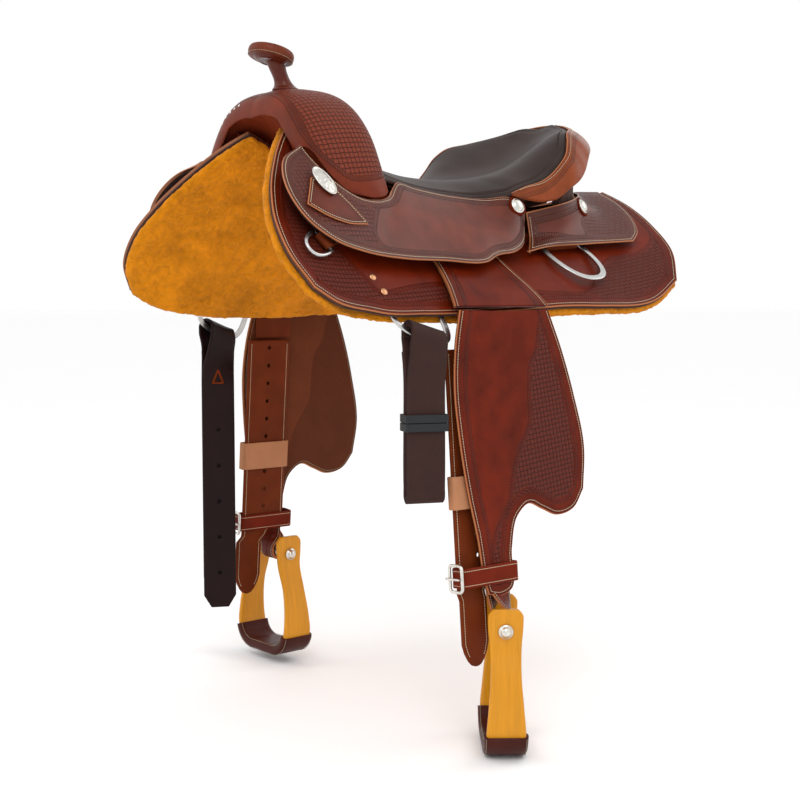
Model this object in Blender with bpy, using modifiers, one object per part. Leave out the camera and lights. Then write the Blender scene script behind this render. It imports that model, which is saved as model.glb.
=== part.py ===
"""A reining saddle: wooden tree, leather seat and swell, skirts lined with fleece, fenders with turned
stirrups, in-skirt rigging with a latigo on the near side and a billet on the off side.

Frame: +X is the near (left) side, -Y the front, +Z up. The origin is the point on the centre plane where
the saddle sits on the horse's back. Lengths are in metres, angles in degrees.
"""
import math

import bmesh
import bpy
import numpy as np
from mathutils import Vector

# Clearances
GAP = 0.0003                 # between neighbouring pieces that lie on each other
RUNNING_GAP = 0.0005         # between a piece that turns or slides and what carries it

# The side surface: the skirts' upper face, from the spine edge down and out.
# station y, spine edge x, spine edge z, slope at the spine edge, slope at SLOPE_SPAN below it
SIDE_SECTIONS = (
    (-0.350, 0.050, 0.176, 44, 52),
    (-0.240, 0.046, 0.170, 48, 57),
    (-0.120, 0.038, 0.105, 36, 54),
    (0.000, 0.036, 0.064, 25, 51),
    (0.150, 0.036, 0.058, 23, 47),
    (0.280, 0.034, 0.076, 26, 47),
    (0.430, 0.020, 0.112, 25, 42),
)
SLOPE_SPAN = 0.260

# Layers over and under the side surface
SKIRT_THICKNESS = 0.008
FLEECE_THICKNESS = 0.011
FLEECE_SHOWING = 0.004       # how far the fleece reaches past the skirt's edge
BAR_THICKNESS = 0.0132
BAR_LIFT = 0.0014            # the bars rest on the skirts through a thin filler that isn't modelled
JOCKEY_THICKNESS = 0.005
JOCKEY_TOP = 0.021           # height of the seat jockey's face over the skirt at its lower edge
REAR_JOCKEY_TOP = 0.0155
TAB_THICKNESS = 0.0025
LEATHER_TOP_THICKNESS = 0.005
LEATHER_TOP_LIFT = 0.0009

# Tree
GULLET_CENTRE_Z = 0.070      # centre of the arch that the fork is drawn about
FORK_MIDDLE_Y = -0.184
FORK_HALF_LENGTH = 0.067
FORK_TOP_RADII = ((0, 0.141), (30, 0.148), (55, 0.147), (75, 0.147), (94, 0.155))
FORK_END_ANGLES = ((0, 63), (30, 69), (60, 84), (90, 93), (120, 93), (150, 89), (180, 84))
FORK_BOXINESS = 2.8
GULLET_RISE = 0.008          # height of the gullet's crown over the bars' inner edges
BAR_FRONT_Y, BAR_REAR_Y = -0.230, 0.282
BAR_INNER, BAR_OUTER = 0.020, 0.104
COVER_THICKNESS = 0.0035

# Horn
HORN_BASE = (0.0, -0.194, 0.2119)
HORN_CAP = (0.0, -0.219, 0.2585)
HORN_CAP_PITCH = 14          # the cap's front edge is tipped up
HORN_CAP_RADIUS = 0.0315
HORN_CAP_EDGE = 0.007
HORN_NECK_RADIUS = 0.0118
HORN_FLARE_RADIUS = 0.020

# Seat and cantle
SEAT_PAD_THICKNESS = 0.012
SEAT_CROWN = 0.011           # how far the padding swells above a plain curve near its rear edge
SEAT_MIDDLE = ((-0.112, 0.126), (-0.060, 0.110), (0.010, 0.1035), (0.090, 0.107), (0.160, 0.119),
               (0.215, 0.140), (0.255, 0.172), (0.278, 0.197), (0.2865, 0.2025))
SEAT_SIDE = ((0.114, -0.113, 0.093), (0.110, -0.062, 0.083), (0.111, 0.010, 0.075), (0.125, 0.056, 0.0725))
# The cantle's seam from its near end to the middle: x, y, z, then how far the roll reaches out and drops
CANTLE_SEAM = ((0.144, 0.090, 0.079, 0.004, 0.003), (0.150, 0.112, 0.089, 0.007, 0.018),
               (0.157, 0.138, 0.098, 0.010, 0.029), (0.160, 0.162, 0.116, 0.016, 0.039),
               (0.160, 0.180, 0.137, 0.021, 0.041), (0.152, 0.191, 0.158, 0.029, 0.042),
               (0.139, 0.203, 0.172, 0.034, 0.038), (0.114, 0.233, 0.182, 0.034, 0.031),
               (0.080, 0.262, 0.191, 0.033, 0.023), (0.040, 0.281, 0.200, 0.033, 0.016),
               (0.000, 0.287, 0.203, 0.034, 0.013))
CANTLE_WALL = 0.010
ROLL_THICKNESS = 0.009

# Stirrup leathers and fenders: the plane they hang in starts at the hinge line under the skirt's edge
HINGE_Y = -0.030
FENDER_TILT = 5              # degrees out from the vertical
FENDER_THICKNESS = 0.006
LOOP_THICKNESS = 0.0045
STRAP_WIDTH = 0.076
STRAP_THICKNESS = 0.004
STRAP_MIDDLE_Y = -0.074
STRAP_TIP_Y = {1: -0.086, -1: -0.098}
STRAP_TIP_WIDTH = 0.046
STRAP_LENGTH = 0.460
STRAP_POINT = 0.030
HOLE_SPACING = 0.0285
HOLE_RADIUS = 0.0032
NECK_WIDTH = 0.034
NECK_MIDDLE_Y = -0.053

# Stirrups
STIRRUP_DROP = {1: 0.409, -1: 0.396}    # hinge line to bolt, along the fender
STIRRUP_TURN = {1: 38, -1: 2}           # how far the bolt is turned out of the X axis
STIRRUP_Y = -0.044
STIRRUP_TREAD_WIDTH = 0.051
STIRRUP_WAIST_WIDTH = 0.040
STIRRUP_TOP_WIDTH = 0.047
STIRRUP_WALL = 0.009
STIRRUP_TOP_SPREAD = 0.043
STIRRUP_SPREAD = 0.064
STIRRUP_TOP_RISE = 0.028
STIRRUP_DEPTH = 0.162
BOLT_RADIUS = 0.004
SPACER_RADIUS = 0.008
WASHER_RADIUS = 0.0095
TREAD_LEATHER = 0.0028

# Hobble strap and its buckle
HOBBLE_DROP = 0.342
HOBBLE_WIDTH = 0.026
HOBBLE_THICKNESS = 0.0028
BUCKLE_WIRE = 0.0021
SLEEVE_DROP = 0.233
SLEEVE_HEIGHT = 0.043
SLEEVE_THICKNESS = 0.0025

# Hardware
BREAST_DEE_WIRE = 0.0026
BREAST_DEE_WIDTH = 0.038
BREAST_DEE_DEPTH = 0.042
REAR_DEE_WIDTH = 0.090
REAR_DEE_DEPTH = 0.092
REAR_DEE_BAND = 0.0095
RIGGING_WIDTH = 0.092
RIGGING_DEPTH = 0.062
RIGGING_BAND = 0.009
RIGGING_PLACE = {1: (-0.144, 0.2595), -1: (-0.168, 0.272)}     # station and distance of each dee's bar
STRAP_OFFSET = {1: 0.000, -1: 0.000}    # how far the latigo and billet hang rearward of the middle
DEE_THICKNESS = 0.0034
CONCHO_HEIGHT = 0.005

# Latigo and billet
WEBBING_WIDTH = 0.050
WEBBING_THICKNESS = 0.0022
LATIGO_TURNS = 3
LATIGO_PITCH = 0.0029
LATIGO_LENGTH = 0.202
LATIGO_TURN = 21
BAND_DROP = 0.108
BAND_HEIGHT = 0.022
BAND_THICKNESS = 0.002
BILLET_THICKNESS = 0.004
BILLET_LENGTHS = (0.401, 0.429)
BILLET_TURN = -26
BILLET_HOLE_SPACING = 0.056

# Levels of the layers behind the fender's inner face
RETURN_LEVEL = -(SLEEVE_THICKNESS + 2 * RUNNING_GAP + STRAP_THICKNESS / 2)
LEATHER_LEVEL = RETURN_LEVEL - STRAP_THICKNESS - 0.0015
BAND_LEVEL = LEATHER_LEVEL - STRAP_THICKNESS / 2 - 2 * RUNNING_GAP

COLOURS = {
    # name: colour, roughness, metallic
    "skirting_leather": ((0.135, 0.024, 0.012), 0.38, 0.0),
    "stamped_leather": ((0.105, 0.022, 0.014), 0.45, 0.0),
    "roll_leather": ((0.330, 0.080, 0.022), 0.36, 0.0),
    "seat_leather": ((0.070, 0.047, 0.042), 0.50, 0.0),
    "natural_leather": ((0.440, 0.200, 0.100), 0.60, 0.0),
    "dark_leather": ((0.030, 0.011, 0.011), 0.45, 0.0),
    "fleece": ((0.800, 0.310, 0.016), 0.95, 0.0),
    "varnished_wood": ((0.740, 0.330, 0.035), 0.30, 0.0),
    "rawhide_wood": ((0.620, 0.480, 0.290), 0.60, 0.0),
    "nylon_webbing": ((0.040, 0.019, 0.016), 0.70, 0.0),
    "rubber": ((0.018, 0.020, 0.022), 0.60, 0.0),
    "silver": ((0.800, 0.790, 0.740), 0.25, 1.0),
    "stainless_steel": ((0.620, 0.620, 0.610), 0.22, 1.0),
}
SIDES = {"near": 1, "off": -1}


def clear_scene():
    for obj in list(bpy.data.objects):
        bpy.data.objects.remove(obj, do_unlink=True)


clear_scene()
PARTS = bpy.data.collections.new("reining_saddle")
CUTTERS = bpy.data.collections.new("cutters")
bpy.context.scene.collection.children.link(PARTS)
bpy.context.scene.collection.children.link(CUTTERS)


def material(name):
    found = bpy.data.materials.get(name)
    if found:
        return found
    colour, roughness, metallic = COLOURS[name]
    made = bpy.data.materials.new(name)
    made.use_nodes = True
    shader = made.node_tree.nodes["Principled BSDF"]
    shader.inputs["Base Color"].default_value = (*colour, 1)
    shader.inputs["Roughness"].default_value = roughness
    shader.inputs["Metallic"].default_value = metallic
    made.diffuse_color = (*colour, 1)
    return made


# Curves and surfaces

def blend_slopes(values, stations, at):
    """Cubic pieces through values at stations, with the neighbours' mean slopes, read at the points at."""
    values, stations = np.asarray(values, float), np.asarray(stations, float)
    slopes = np.gradient(values, stations, axis=0)
    at = np.clip(at, stations[0], stations[-1])
    i = np.clip(np.searchsorted(stations, at) - 1, 0, len(stations) - 2)
    h = stations[i + 1] - stations[i]
    t = (at - stations[i]) / h
    if values.ndim > 1:
        h, t = h[..., None], t[..., None]
    return ((2 * t**3 - 3 * t**2 + 1) * values[i] + (t**3 - 2 * t**2 + t) * h * slopes[i]
            + (3 * t**2 - 2 * t**3) * values[i + 1] + (t**3 - t**2) * h * slopes[i + 1])


def smooth(points, count):
    """Evenly spaced points on a smooth curve through the given ones."""
    points = np.asarray(points, float)
    steps = np.linalg.norm(np.diff(points, axis=0), axis=1)
    travelled = np.concatenate([[0], np.cumsum(steps)])
    return blend_slopes(points, travelled, np.linspace(0, travelled[-1], count))


def side(y, s, h=0.0):
    """Point on the near side: s down from the spine edge at station y, lifted h off the skirt's face.

    The section at a station is an arc whose slope grows evenly from its spine value to its lower value.
    """
    y, s, h = np.broadcast_arrays(np.asarray(y, float), s, h)
    stations = [row[0] for row in SIDE_SECTIONS]
    x0, z0, a0, a1 = (blend_slopes([row[k] for row in SIDE_SECTIONS], stations, y) for k in (1, 2, 3, 4))
    a0, a1 = np.radians(a0), np.radians(a1)
    bend = (a1 - a0) / SLOPE_SPAN
    a = a0 + bend * s
    x = x0 + (np.sin(a) - np.sin(a0)) / bend + h * np.sin(a)
    z = z0 + (np.cos(a) - np.cos(a0)) / bend + h * np.cos(a)
    return np.stack([x, y, z], -1)


def frame_on_side(y, s, h=0.0):
    """Origin and the rearward, downward and outward directions of the side surface."""
    step = 0.002
    origin = side(y, s, h)
    rear = side(y + step, s, h) - origin
    down = side(y, s + step, h) - origin
    rear, down = rear / np.linalg.norm(rear), down / np.linalg.norm(down)
    out = np.cross(down, rear)
    out /= np.linalg.norm(out)
    return origin, rear, np.cross(rear, out), out


def patch(top, bottom, front, rear, across, along):
    """Grid of across x along points between four edges, each a list of hand-set points (a Coons patch).

    top and bottom run from front to rear, front and rear from top to bottom.
    """
    top, bottom = smooth(top, across), smooth(bottom, across)
    front, rear = smooth(front, along), smooth(rear, along)
    u = np.linspace(0, 1, across)[:, None, None]
    v = np.linspace(0, 1, along)[None, :, None]
    ruled = (1 - v) * top[:, None] + v * bottom[:, None] + (1 - u) * front[None] + u * rear[None]
    corners = ((1 - u) * (1 - v) * top[0] + u * (1 - v) * top[-1]
               + (1 - u) * v * bottom[0] + u * v * bottom[-1])
    return ruled - corners


# Objects

def new_object(name, vertices, faces, finish, sign=1, collection=PARTS):
    """Mesh object; sign -1 mirrors it to the off side and keeps its faces outward."""
    mesh = bpy.data.meshes.new(name)
    points = np.asarray(vertices, float).reshape(-1, 3) * (sign, 1, 1)
    if sign < 0:
        faces = [tuple(reversed(face)) for face in faces]
    mesh.from_pydata(points.tolist(), [], [tuple(int(k) for k in face) for face in faces])
    mesh.update()
    obj = bpy.data.objects.new(name, mesh)
    collection.objects.link(obj)
    if finish:
        mesh.materials.append(material(finish))
    mesh.shade_smooth()
    return obj


def grid_faces(rows, columns, wrap=False):
    """Quads of a rows x columns grid whose second direction turns left of its first, seen from outside."""
    faces = []
    for i in range(rows - 1):
        for j in range(columns if wrap else columns - 1):
            k = (j + 1) % columns
            faces.append((i * columns + j, i * columns + k, (i + 1) * columns + k, (i + 1) * columns + j))
    return faces


def sheet(name, outer, thickness, finish, sign=1):
    """A leather sheet: its outer face is the grid, and Solidify gives its thickness inward."""
    rows, columns = outer.shape[:2]
    obj = new_object(name, outer, grid_faces(rows, columns), finish, sign)
    solid = obj.modifiers.new("thickness", "SOLIDIFY")
    solid.thickness = thickness
    solid.offset = -1
    return obj


def slab(name, outer, inner, finish, sign=1, collection=PARTS):
    """Closed solid between two grids of one size; outer is the face seen from outside."""
    rows, columns = outer.shape[:2]
    count = rows * columns
    faces = []
    for a, b, c, d in grid_faces(rows, columns):
        faces += [(a, b, c), (a, c, d), (count + c, count + b, count + a), (count + d, count + c, count + a)]
    edge = [j for j in range(columns)] + [i * columns + columns - 1 for i in range(1, rows)]
    edge += [(rows - 1) * columns + j for j in reversed(range(columns - 1))]
    edge += [i * columns for i in reversed(range(1, rows - 1))]
    for a, b in zip(edge, edge[1:] + edge[:1]):
        faces.append((b, a, count + a, count + b))
    return new_object(name, np.concatenate([outer.reshape(-1, 3), inner.reshape(-1, 3)]), faces, finish,
                      sign, collection)


def loft(name, rings, finish, sign=1, closed=False, collection=PARTS):
    """Solid through rings of points; open ends are capped, closed joins the last ring to the first."""
    rings = np.asarray(rings, float)
    rows, columns = rings.shape[:2]
    faces = grid_faces(rows, columns, wrap=True)
    if closed:
        last = (rows - 1) * columns
        faces += [(last + j, last + (j + 1) % columns, (j + 1) % columns, j) for j in range(columns)]
    else:
        faces.append(tuple(reversed(range(columns))))
        faces.append(tuple((rows - 1) * columns + j for j in range(columns)))
    obj = new_object(name, rings, faces, finish, 1, collection)
    work = bmesh.new()
    work.from_mesh(obj.data)
    bmesh.ops.recalc_face_normals(work, faces=work.faces)
    if sign < 0:
        for vertex in work.verts:
            vertex.co.x *= -1
        bmesh.ops.reverse_faces(work, faces=work.faces)
    work.to_mesh(obj.data)
    work.free()
    return obj


def rectangle(width, thickness, corner=0.25):
    """Section of a strap: a rectangle with its corners cut by a share of the thickness."""
    w, t = width / 2, thickness / 2
    c = thickness * corner
    return np.array([(w - c, -t), (w, -t + c), (w, t - c), (w - c, t), (-w + c, t), (-w, t - c),
                     (-w, -t + c), (-w + c, -t)])


def strap(name, path, width_way, width, thickness, finish, sign=1, closed=False, collection=PARTS,
          square=True):
    """Strap along a path: its width lies along width_way, one direction or one for each point.

    Square sections stand at right angles to the path; otherwise the width keeps its own direction.
    """
    path = np.asarray(path, float)
    ways = np.broadcast_to(np.asarray(width_way, float), path.shape)
    widths = np.broadcast_to(width, len(path))
    if closed:
        along = np.roll(path, -1, axis=0) - np.roll(path, 1, axis=0)
    else:
        along = np.gradient(path, axis=0)
    along /= np.linalg.norm(along, axis=1)[:, None]
    if square:
        ways = ways - np.sum(ways * along, axis=1)[:, None] * along
    ways = ways / np.linalg.norm(ways, axis=1)[:, None]
    normals = np.cross(along, ways)
    rings = []
    for k in range(len(path)):
        section = rectangle(widths[k], thickness)
        rings.append(path[k] + section[:, :1] * ways[k] + section[:, 1:] * normals[k])
    return loft(name, rings, finish, sign, closed, collection)


def cut(obj, cutter):
    """Boolean difference with a cutter that stays hidden."""
    cutter.hide_render = True
    cutter.display_type = "WIRE"
    step = obj.modifiers.new("cut", "BOOLEAN")
    step.operation = "DIFFERENCE"
    step.solver = "EXACT"
    step.object = cutter


def join(obj, other):
    """Boolean union with another solid, which then stays hidden among the cutters."""
    other.hide_render = True
    other.display_type = "WIRE"
    step = obj.modifiers.new("join", "BOOLEAN")
    step.operation = "UNION"
    step.solver = "EXACT"
    step.use_self = True
    step.object = other


def rods(name, centres, way, radius, length, sign=1, sides=10):
    """Cutter made of equal rods along one direction, such as a row of punched holes."""
    work = bmesh.new()
    way = Vector([float(c) for c in way]) * Vector((sign, 1, 1))
    turn = way.to_track_quat("Z", "Y").to_matrix().to_4x4()
    for centre in centres:
        made = bmesh.ops.create_cone(work, cap_ends=True, segments=sides, radius1=radius, radius2=radius,
                                     depth=length)
        bmesh.ops.transform(work, matrix=turn, verts=made["verts"])
        where = Vector([float(c) for c in centre]) * Vector((sign, 1, 1))
        bmesh.ops.translate(work, vec=where, verts=made["verts"])
    mesh = bpy.data.meshes.new(name)
    work.to_mesh(mesh)
    work.free()
    obj = bpy.data.objects.new(name, mesh)
    CUTTERS.objects.link(obj)
    return obj


# Tree

def bar_top(y, s):
    return side(y, s, BAR_LIFT + BAR_THICKNESS)


def fork_base(angle, y):
    """Distance from the arch's centre to the bars' upper face, along a ray at an angle from the top.

    In front of the bars the fork reaches down to the skirts.
    """
    s = np.linspace(BAR_INNER, 0.240, 40)
    share = min(max((y - BAR_FRONT_Y + 0.022) / 0.012, 0), 1)
    inner = side(y, s, BAR_LIFT + BAR_THICKNESS * share)
    across = np.concatenate([[0.0], inner[:, 0]])
    height = np.concatenate([[inner[0, 2] + GULLET_RISE], inner[:, 2]]) - GULLET_CENTRE_Z
    rays = np.degrees(np.arctan2(across, height))
    return np.interp(abs(angle), rays, np.hypot(across, height))


def fork_point(part, turn, inset=0.0):
    """Fork's surface: part goes over the arch from the off end (-1) to the near end (1), turn from its
    front foot (0) over the top to its rear foot (180).

    The section at an angle is half a squared-off ellipse that stands on the bars.
    """
    power = 2 / FORK_BOXINESS
    turns, ends = zip(*FORK_END_ANGLES)
    angle = part * float(blend_slopes(ends, turns, np.array(float(turn))))
    c, s = math.cos(math.radians(turn)), max(math.sin(math.radians(turn)), 0.0)
    y = FORK_MIDDLE_Y - (FORK_HALF_LENGTH - inset) * math.copysign(abs(c) ** power, c)
    angles, radii = zip(*FORK_TOP_RADII)
    top = float(blend_slopes(radii, angles, np.array(abs(angle), float))) - inset
    foot = fork_base(angle, y) + 0.0028
    r = foot + max(top - foot, 0.002) * s ** power
    ray = math.radians(angle)
    return r * math.sin(ray), y, GULLET_CENTRE_Z + r * math.cos(ray)


def make_tree():
    y = (BAR_FRONT_Y, 0.0, BAR_REAR_Y)
    for name, sign in SIDES.items():
        plan = patch([(v, BAR_INNER) for v in y], [(v, BAR_OUTER) for v in y],
                     [(y[0], BAR_INNER), (y[0], BAR_OUTER)], [(y[2], BAR_INNER), (y[2], BAR_OUTER)], 15, 4)
        top = bar_top(plan[..., 0], plan[..., 1])
        slab(f"tree_bar_{name}", top, side(plan[..., 0], plan[..., 1], BAR_LIFT), "rawhide_wood", sign)
    parts = np.linspace(-0.975, 0.975, 23)
    turns = np.linspace(0, 180, 13)
    inset = COVER_THICKNESS + 0.0018
    outer = np.array([[fork_point(a, t, inset) for a in parts] for t in turns])
    inner = outer.copy()
    for i in range(len(turns)):
        for j in range(len(parts)):
            x, y, z = outer[i, j]
            ray = math.atan2(x, z - GULLET_CENTRE_Z)
            r = fork_base(math.degrees(ray), y) + 0.0022
            inner[i, j] = (r * math.sin(ray), y, GULLET_CENTRE_Z + r * math.cos(ray))
    slab("tree_fork", outer, inner, "skirting_leather")


def make_swell_cover():
    outer = np.array([[fork_point(a, t) for a in np.linspace(-1, 1, 23)] for t in np.linspace(0, 180, 13)])
    sheet("swell_cover", outer, COVER_THICKNESS, "stamped_leather")


def make_horn():
    """Rings up a neck that leans forward, then out and over the cap."""
    base, cap = np.array(HORN_BASE), np.array(HORN_CAP)
    pitch = math.radians(HORN_CAP_PITCH)
    up = np.array([0, math.sin(pitch), math.cos(pitch)])
    lean = (cap - base) / np.linalg.norm(cap - base)
    steps = [(base, HORN_FLARE_RADIUS, np.array([0, 0, 1.0])), (base + 0.005 * lean, 0.016, up),
             (base + 0.011 * lean, HORN_NECK_RADIUS + 0.001, lean),
             (base + 0.028 * lean, HORN_NECK_RADIUS, lean),
             (base + 0.039 * lean, HORN_NECK_RADIUS + 0.002, up), (cap - 0.0105 * up, 0.019, up),
             (cap - 0.0060 * up, 0.026, up), (cap - 0.002 * up, HORN_CAP_RADIUS - 0.001, up),
             (cap, HORN_CAP_RADIUS, up), (cap + HORN_CAP_EDGE * 0.7 * up, HORN_CAP_RADIUS, up),
             (cap + HORN_CAP_EDGE * up, HORN_CAP_RADIUS - 0.0025, up)]
    rings = []
    turns = np.radians(np.arange(0, 360, 15))[:, None]
    for centre, radius, axis in steps:
        rear = np.cross(axis, (1, 0, 0))
        rings.append(centre + radius * (np.cos(turns) * np.array([1, 0, 0]) + np.sin(turns) * rear))
    loft("horn", rings, "skirting_leather")


# Seat

def seat_rows(count):
    """Rows of the seat's face: each runs from one edge over the middle line to the other edge.

    Along a row the height follows a parabola, so the front is crowned and the rear is dished.
    """
    middle = smooth([(0, y, z) for y, z in SEAT_MIDDLE], count)
    edge = smooth(list(SEAT_SIDE) + [row[:3] for row in CANTLE_SEAM[:-1]], count)
    return middle, edge


def seat_face(rows, columns, reach=1.0, first=0.0, last=1.0, drop=0.0):
    middle, edge = seat_rows(61)
    pick = np.linspace(first, last, rows)
    at = np.linspace(0, 1, 61)
    middle = blend_slopes(middle, at, pick)
    edge = blend_slopes(edge, at, pick)
    v = np.linspace(-reach, reach, columns)
    grid = np.empty((rows, columns, 3))
    share = np.abs(v)[None, :]
    grid[..., 0] = edge[:, :1] * v[None, :]
    grid[..., 1] = middle[:, 1:2] + (edge[:, 1:2] - middle[:, 1:2]) * share ** 2
    grid[..., 2] = middle[:, 2:] + (edge[:, 2:] - middle[:, 2:]) * share ** 2
    rear = np.clip((pick[:, None] - 0.45) / 0.2, 0, 1)
    rear = rear * edge[:, :1] / SEAT_SIDE[0][0]
    grid[..., 2] += SEAT_CROWN * rear * 4 * share ** 2 * (1 - share ** 2)
    if drop:
        along = np.gradient(grid, axis=0)
        across = np.gradient(grid, axis=1)
        out = np.cross(across, along)
        out /= np.linalg.norm(out, axis=-1)[..., None]
        out *= np.sign(out[..., 2:])
        grid = grid - drop * out
    return grid


def make_seat():
    top = seat_face(31, 13)
    under = seat_face(31, 13, 0.92, 0.0, 0.96, SEAT_PAD_THICKNESS)
    slab("seat_pad", top, under, "seat_leather")
    top = seat_face(13, 11, 0.74, 0.16, 0.52, SEAT_PAD_THICKNESS + 0.003)
    under = top.copy()
    s = np.linspace(BAR_INNER, 0.220, 60)
    for row in under:
        for point in row:
            bars = bar_top(point[1], s)
            height = np.interp(abs(point[0]), bars[:, 0], bars[:, 2])
            point[2] = min(height + 0.0045, point[2] - 0.003)
    slab("ground_seat", top, under, "natural_leather")


def cantle_sections(count):
    """Seam points from the near end round the back to the off end, the level directions outward, and how
    far the roll reaches out and drops there."""
    half = np.array(CANTLE_SEAM)
    full = np.concatenate([half, half[-2::-1] * (-1, 1, 1, 1, 1)])
    rows = smooth(full, count)
    seam = rows[:, :3]
    along = np.gradient(seam, axis=0)
    out = np.cross((0, 0, 1), along)
    out /= np.linalg.norm(out, axis=1)[:, None]
    out *= np.where(out @ (0, 1, 0) + 4 * out[:, 0] * seam[:, 0] > 0, 1, -1)[:, None]
    return seam, out, rows[:, 3:4], rows[:, 4:5]


def make_cantle():
    seam, out, reach, drop = cantle_sections(45)
    up = np.array([0, 0, 1.0])
    s = np.linspace(0.0, 0.240, 60)
    rings = []
    for k in range(8, 37, 2):
        slope = drop[k, 0] / reach[k, 0]
        thick = (ROLL_THICKNESS + 0.0012) * math.hypot(1, slope)

        def under_roll(away):
            return seam[k] + out[k] * away - up * (slope * away + thick)

        x, y = seam[k, 0] * 0.985, seam[k, 1]
        x = math.copysign(min(abs(x), 0.112), x)
        bars = bar_top(min(y, BAR_REAR_Y), s)
        foot_z = np.interp(max(abs(x), bars[0, 0]), bars[:, 0], bars[:, 2]) + 3 * GAP
        foot = np.array([x, y, foot_z])
        level = out[k] * CANTLE_WALL
        front, rear = under_roll(0.001), under_roll(0.001 + CANTLE_WALL)
        middle = 0.60 * foot + 0.40 * front - up * 0.006
        rings.append([front, rear, middle + level, foot + level, foot, middle])
    loft("tree_cantle", rings, "skirting_leather")
    section = ((0, 0), (0.22, 0.30), (0.60, 0.42), (0.88, 0.20), (1.0, -0.25), (0.97, -0.75),
               (0.82, -1.0), (0.56, -1.0), (0.34, -0.75), (0.12, -0.30))
    rings = []
    for k in range(len(seam)):
        first = seam[k] + out[k] * 0.0020
        across = out[k] * reach[k] - up * drop[k]
        way = across / np.linalg.norm(across)
        face = up - (up @ way) * way
        face /= np.linalg.norm(face)
        thick = ROLL_THICKNESS * min(1.0, float(np.linalg.norm(across)) / 0.030 + 0.1)
        rings.append([first + across * f + face * (h * thick) for f, h in section])
    loft("cheyenne_roll", rings, "roll_leather")


# Leather on the side surface

SKIRT_TOP = [(-0.226, 0.006), (-0.120, 0.004), (0.100, 0.004), (0.300, 0.004), (0.405, 0.004)]
SKIRT_FRONT = [(-0.226, 0.006), (-0.282, 0.088), (-0.319, 0.157), (-0.335, 0.210), (-0.334, 0.260),
               (-0.314, 0.302)]
SKIRT_BOTTOM = [(-0.314, 0.302), (-0.280, 0.316), (-0.211, 0.310), (-0.129, 0.278), (0.000, 0.250),
                (0.100, 0.243), (0.190, 0.250), (0.300, 0.256), (0.358, 0.241)]
SKIRT_REAR = [(0.405, 0.004), (0.412, 0.060), (0.407, 0.133), (0.395, 0.188), (0.358, 0.241)]


def make_skirts():
    plan = patch(SKIRT_TOP, SKIRT_BOTTOM, SKIRT_FRONT, SKIRT_REAR, 20, 8)
    y, s = plan[..., 0], plan[..., 1]
    middle = np.array([0.03, 0.15])
    away = plan - middle
    away /= np.linalg.norm(away, axis=-1)[..., None]
    wide = plan.copy()
    for edge in (np.s_[0], np.s_[-1], np.s_[:, -1]):
        wide[edge] = plan[edge] + FLEECE_SHOWING * away[edge]
    fy, fs = wide[..., 0], wide[..., 1]
    near_dee = np.exp(-(((fy + 0.155) / 0.115) ** 6 + ((fs - 0.285) / 0.085) ** 6))
    pocket = (DEE_THICKNESS + 0.0022) * np.clip(1.6 * near_dee, 0, 1)
    for name, sign in SIDES.items():
        slab(f"skirt_{name}", side(y, s), side(y, s, -SKIRT_THICKNESS), "skirting_leather", sign)
        outer = side(fy, fs, -SKIRT_THICKNESS - GAP - pocket)
        inner = side(fy, fs, -SKIRT_THICKNESS - GAP - FLEECE_THICKNESS)
        slab(f"fleece_{name}", outer, inner, "fleece", sign)


def seat_jockey_edges():
    """Upper edge under the seat and round the swell, and lower edge over the skirt, front to rear."""
    upper = [(0.1215, -0.2535, 0.1235), (0.137, -0.244, 0.104), (0.1555, -0.222, 0.077), (0.1605, -0.190, 0.060),
             (0.154, -0.155, 0.058), (0.139, -0.124, 0.066), (0.1255, -0.109, 0.077), (0.1175, -0.096, 0.086),
             (0.1130, -0.062, 0.0815), (0.1135, 0.010, 0.0735), (0.1275, 0.056, 0.071), (0.145, 0.088, 0.073),
             (0.151, 0.108, 0.062)]
    plan = [(-0.262, 0.090), (-0.290, 0.112), (-0.307, 0.146), (-0.310, 0.178), (-0.297, 0.214),
            (-0.262, 0.236), (-0.213, 0.236), (-0.148, 0.214), (-0.079, 0.193), (-0.001, 0.180),
            (0.030, 0.163), (0.067, 0.154), (0.094, 0.138), (0.118, 0.106)]
    lower = [side(y, s, JOCKEY_TOP) for y, s in plan]
    return upper, lower


def make_jockeys():
    upper, lower = seat_jockey_edges()
    front = [upper[0], (np.array(upper[0]) + lower[0]) / 2, lower[0]]
    rear = [upper[-1], (np.array(upper[-1]) + lower[-1]) / 2 + np.array([0.002, 0, 0]), lower[-1]]
    face = patch(upper, lower, front, rear, 26, 6)
    v = np.linspace(0, 1, 6)[None, :]
    face[..., 0] += 0.010 * v * (1 - v)
    face[..., 2] += 0.010 * v * (1 - v)
    tail = [side(y, s, REAR_JOCKEY_TOP) for y, s in ((0.366, 0.020), (0.371, 0.060), (0.362, 0.112),
                                                     (0.344, 0.140), (0.322, 0.152))]
    low = [side(0.106, 0.141, 0.0115), side(0.134, 0.138, 0.0150)]
    low += [side(y, s, REAR_JOCKEY_TOP) for y, s in ((0.160, 0.136), (0.211, 0.136), (0.263, 0.139),
                                                     (0.322, 0.152))]
    high = [(0.1445, 0.1205, 0.053), (0.146, 0.152, 0.060), (0.150, 0.190, 0.069), (0.131, 0.236, 0.080),
            (0.098, 0.274, 0.090), (0.058, 0.304, 0.097), tail[0]]
    back = patch(high, low, [high[0], side(0.1290, 0.108, 0.0200), low[0]], tail, 16, 6)
    for name, sign in SIDES.items():
        sheet(f"seat_jockey_{name}", face, JOCKEY_THICKNESS, "skirting_leather", sign)
        sheet(f"rear_jockey_{name}", back, 0.004, "skirting_leather", sign)
        make_concho(f"rear_concho_{name}", sign, frame_on_grid(face, -2, 1), 0.0115, 0.0115, 0)
        make_concho(f"cantle_concho_{name}", sign, frame_on_grid(back, 7, 1), 0.0115, 0.0115, 0)
    make_jockey_tabs(face)


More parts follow.
